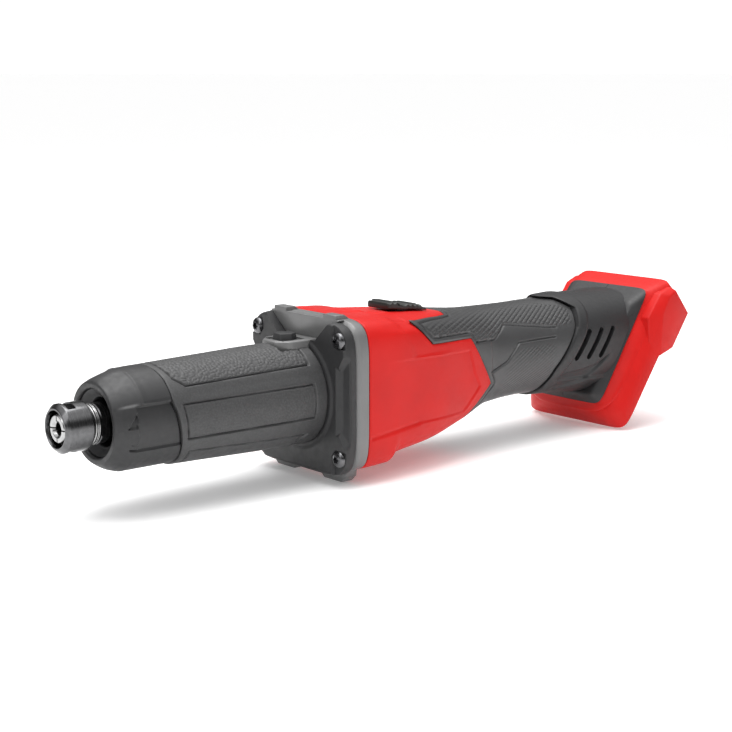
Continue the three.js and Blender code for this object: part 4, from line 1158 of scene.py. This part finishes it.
# What the battery's channel and the terminal block's room take out of the foot: n, half width, t.
CHANNEL = [
    ((FOOT_FLOOR, 306), 29.5, (176, 300)),
    ((303.4, 306), 33.4, (192, 300)),
    ((FOOT_FLOOR, 306), 33.4, (214, 300)),
    ((305, 310), 29.8, (169.5, 300)),
    ((309.3, 330), 31, (169.5, 300)),
    ((309.3, 330), 35, (176, 300)),
    ((290, 302), 15, (180, 206)),
]


def make_wing(side):
    levels = [(WING_FOOT, 31), (WING_FOOT, 37.2), (WING_FACE, 41)]
    rows = [foot_frame([(n, side * y, t) for n, t in outline]) for outline, y in levels]
    return bevelled(capped("wing", np.array(rows)), 0.9, 3)


def make_battery_foot():
    """The red foot, skinned over rings from the border back; each ring is in foot_ring's own order."""
    low_edge = (LOWEST + FOOT_REAR * math.sin(FOOT_TILT)) / math.cos(FOOT_TILT)
    skirt_front = FOOT_FRONT + 0.7
    narrow, wide = 27.4, 31.0
    rings = [
        (FOOT_FRONT, 172.0, 246.1, narrow - 0.6, wide - 0.6),
        (FOOT_FRONT + 0.25, 171.6, 246.6, narrow - 0.2, wide - 0.2),
        (skirt_front, BORDER_BOTTOM, BORDER_TOP, narrow, wide),
    ]
    for share in np.linspace(0.12, 0.92, 7):
        bow = math.sin(share * math.pi / 2)
        rings.append((
            skirt_front + (FOOT_FLOOR - skirt_front) * share, BORDER_BOTTOM - 3.4 * bow,
            BORDER_TOP + 0.6 + 11.1 * share, narrow + 6.4 * bow, wide + 5.0 * bow,
            BORDER_LEAN * (1 - 0.7 * share), FOOT_SQUARENESS - 7.5 * bow))
    rings += [
        (FOOT_FLOOR, 168.0, 258.3, 34.2, 36.4, BORDER_LEAN * 0.3, 6),
        (304, 167.0, 256.7, 36.5, 38.1, 0.02, 8),
        (306, 166.6, 256, 37.4, 38.8, 0.015, 9),
        (312.6, low_edge + 0.3, 252.7, 39.4, 39.4, 0),
        (313.6, low_edge + 0.3, 252.2, 39.2, 39.2, 0),
        (FOOT_REAR, low_edge + 0.9, 251.6, 38.7, 38.7, 0),
    ]
    foot = capped("foot", np.array([foot_ring(*ring) for ring in rings]))
    joined(foot, make_wing(-1), make_wing(1))
    hollow = capped("cutter", np.array([
        foot_ring(depth, low=188, high=240, narrow=25, wide=29, lean=0, count=80)
        for depth in (FOOT_FRONT - 14, FOOT_FLOOR - 2.6)]))
    cut(foot, hollow, *[block(n, (-half, half), t, foot_frame) for n, half, t in CHANNEL])
    stands_for(foot, "battery_foot", sharp=36)


BLADE_SPACING = 8


def make_terminals():
    body = bevelled(block((291, 309), (-14.6, 14.6), (180.4, 205.6), foot_frame, "terminals"), 0.5)
    slots = [block((301, 310), (y - 1.1, y + 1.1), (190, 207), foot_frame)
             for y in (-BLADE_SPACING, 0, BLADE_SPACING)]
    stands_for(cut(body, *slots), "terminal_block")
    for name, y in (("positive", -BLADE_SPACING), ("negative", BLADE_SPACING)):
        blade = bevelled(block((302.5, 308.5), (y - 0.5, y + 0.5), (205.9, 219), foot_frame, "blade"), 0.2)
        stands_for(blade, f"terminal_blade_{name}")


make_collet_nut()
make_collet()
make_spindle()
make_dust_seal()
make_nose_cap()
make_grip_sleeve()
make_front_flange()
make_front_housing()
make_lock_button()
make_flange_screws()
make_motor_housing()
make_handle_overmold()
make_handle_halves()
make_handle_screws()
make_switch_slider()
make_battery_foot()
make_terminals()

for name, obj in frame["nodes"].items():
    dress(obj, SLOT_OF[name])


# ---------------- floor and light

def add_floor():
    bpy.ops.mesh.primitive_plane_add(size=400, location=(0, 0, -0.0005))
    floor = bpy.context.active_object
    floor.name = "floor"
    paper = Shader("paper", Roughness=0.9, Emission_Color=(1, 1, 1, 1), Emission_Strength=0.2)
    paper.tinted(paper.ranged(paper.noise(0.01, 2), 0, 1), (0.93,) * 3, (0.95,) * 3)
    floor.data.materials.append(paper.material)


def add_light(name, position, size, power, target=(0, 0, 0.04)):
    light = bpy.data.lights.new(name, "AREA")
    light.shape = "RECTANGLE"
    light.size, light.size_y = size
    light.energy = power
    lamp = add_object(name, light)
    lamp.location = position
    lamp.rotation_euler = (Vector(target) - Vector(position)).to_track_quat("-Z", "Y").to_euler()


def add_world():
    """Light that is pale at the horizon, dim above it and bright overhead."""
    world = bpy.data.worlds.new("studio")
    bpy.context.scene.world = world
    world.use_nodes = True
    nodes, links = world.node_tree.nodes, world.node_tree.links
    direction = nodes.new("ShaderNodeTexCoord")
    split = nodes.new("ShaderNodeSeparateXYZ")
    ramp = nodes.new("ShaderNodeValToRGB")
    levels = [(0.0, 0.86), (0.05, 0.86), (0.12, 0.11), (0.48, 0.11), (0.70, 1.0), (1.0, 1.0)]
    while len(ramp.color_ramp.elements) < len(levels):
        ramp.color_ramp.elements.new(0.5)
    for element, (height, level) in zip(ramp.color_ramp.elements, levels):
        element.position = height
        element.color = (level, level, level, 1)
    links.new(direction.outputs["Generated"], split.inputs[0])
    links.new(split.outputs["Z"], ramp.inputs["Fac"])
    links.new(ramp.outputs["Color"], nodes["Background"].inputs["Color"])
    nodes["Background"].inputs["Strength"].default_value = 1.25


add_floor()
add_world()
add_light("overhead", position=(-0.1, 0.1, 1.2), size=(1.2, 0.8), power=15)
add_light("left", position=(-1.2, -0.1, 0.8), size=(0.5, 0.9), power=3)
bpy.context.scene.view_settings.view_transform = "Standard"
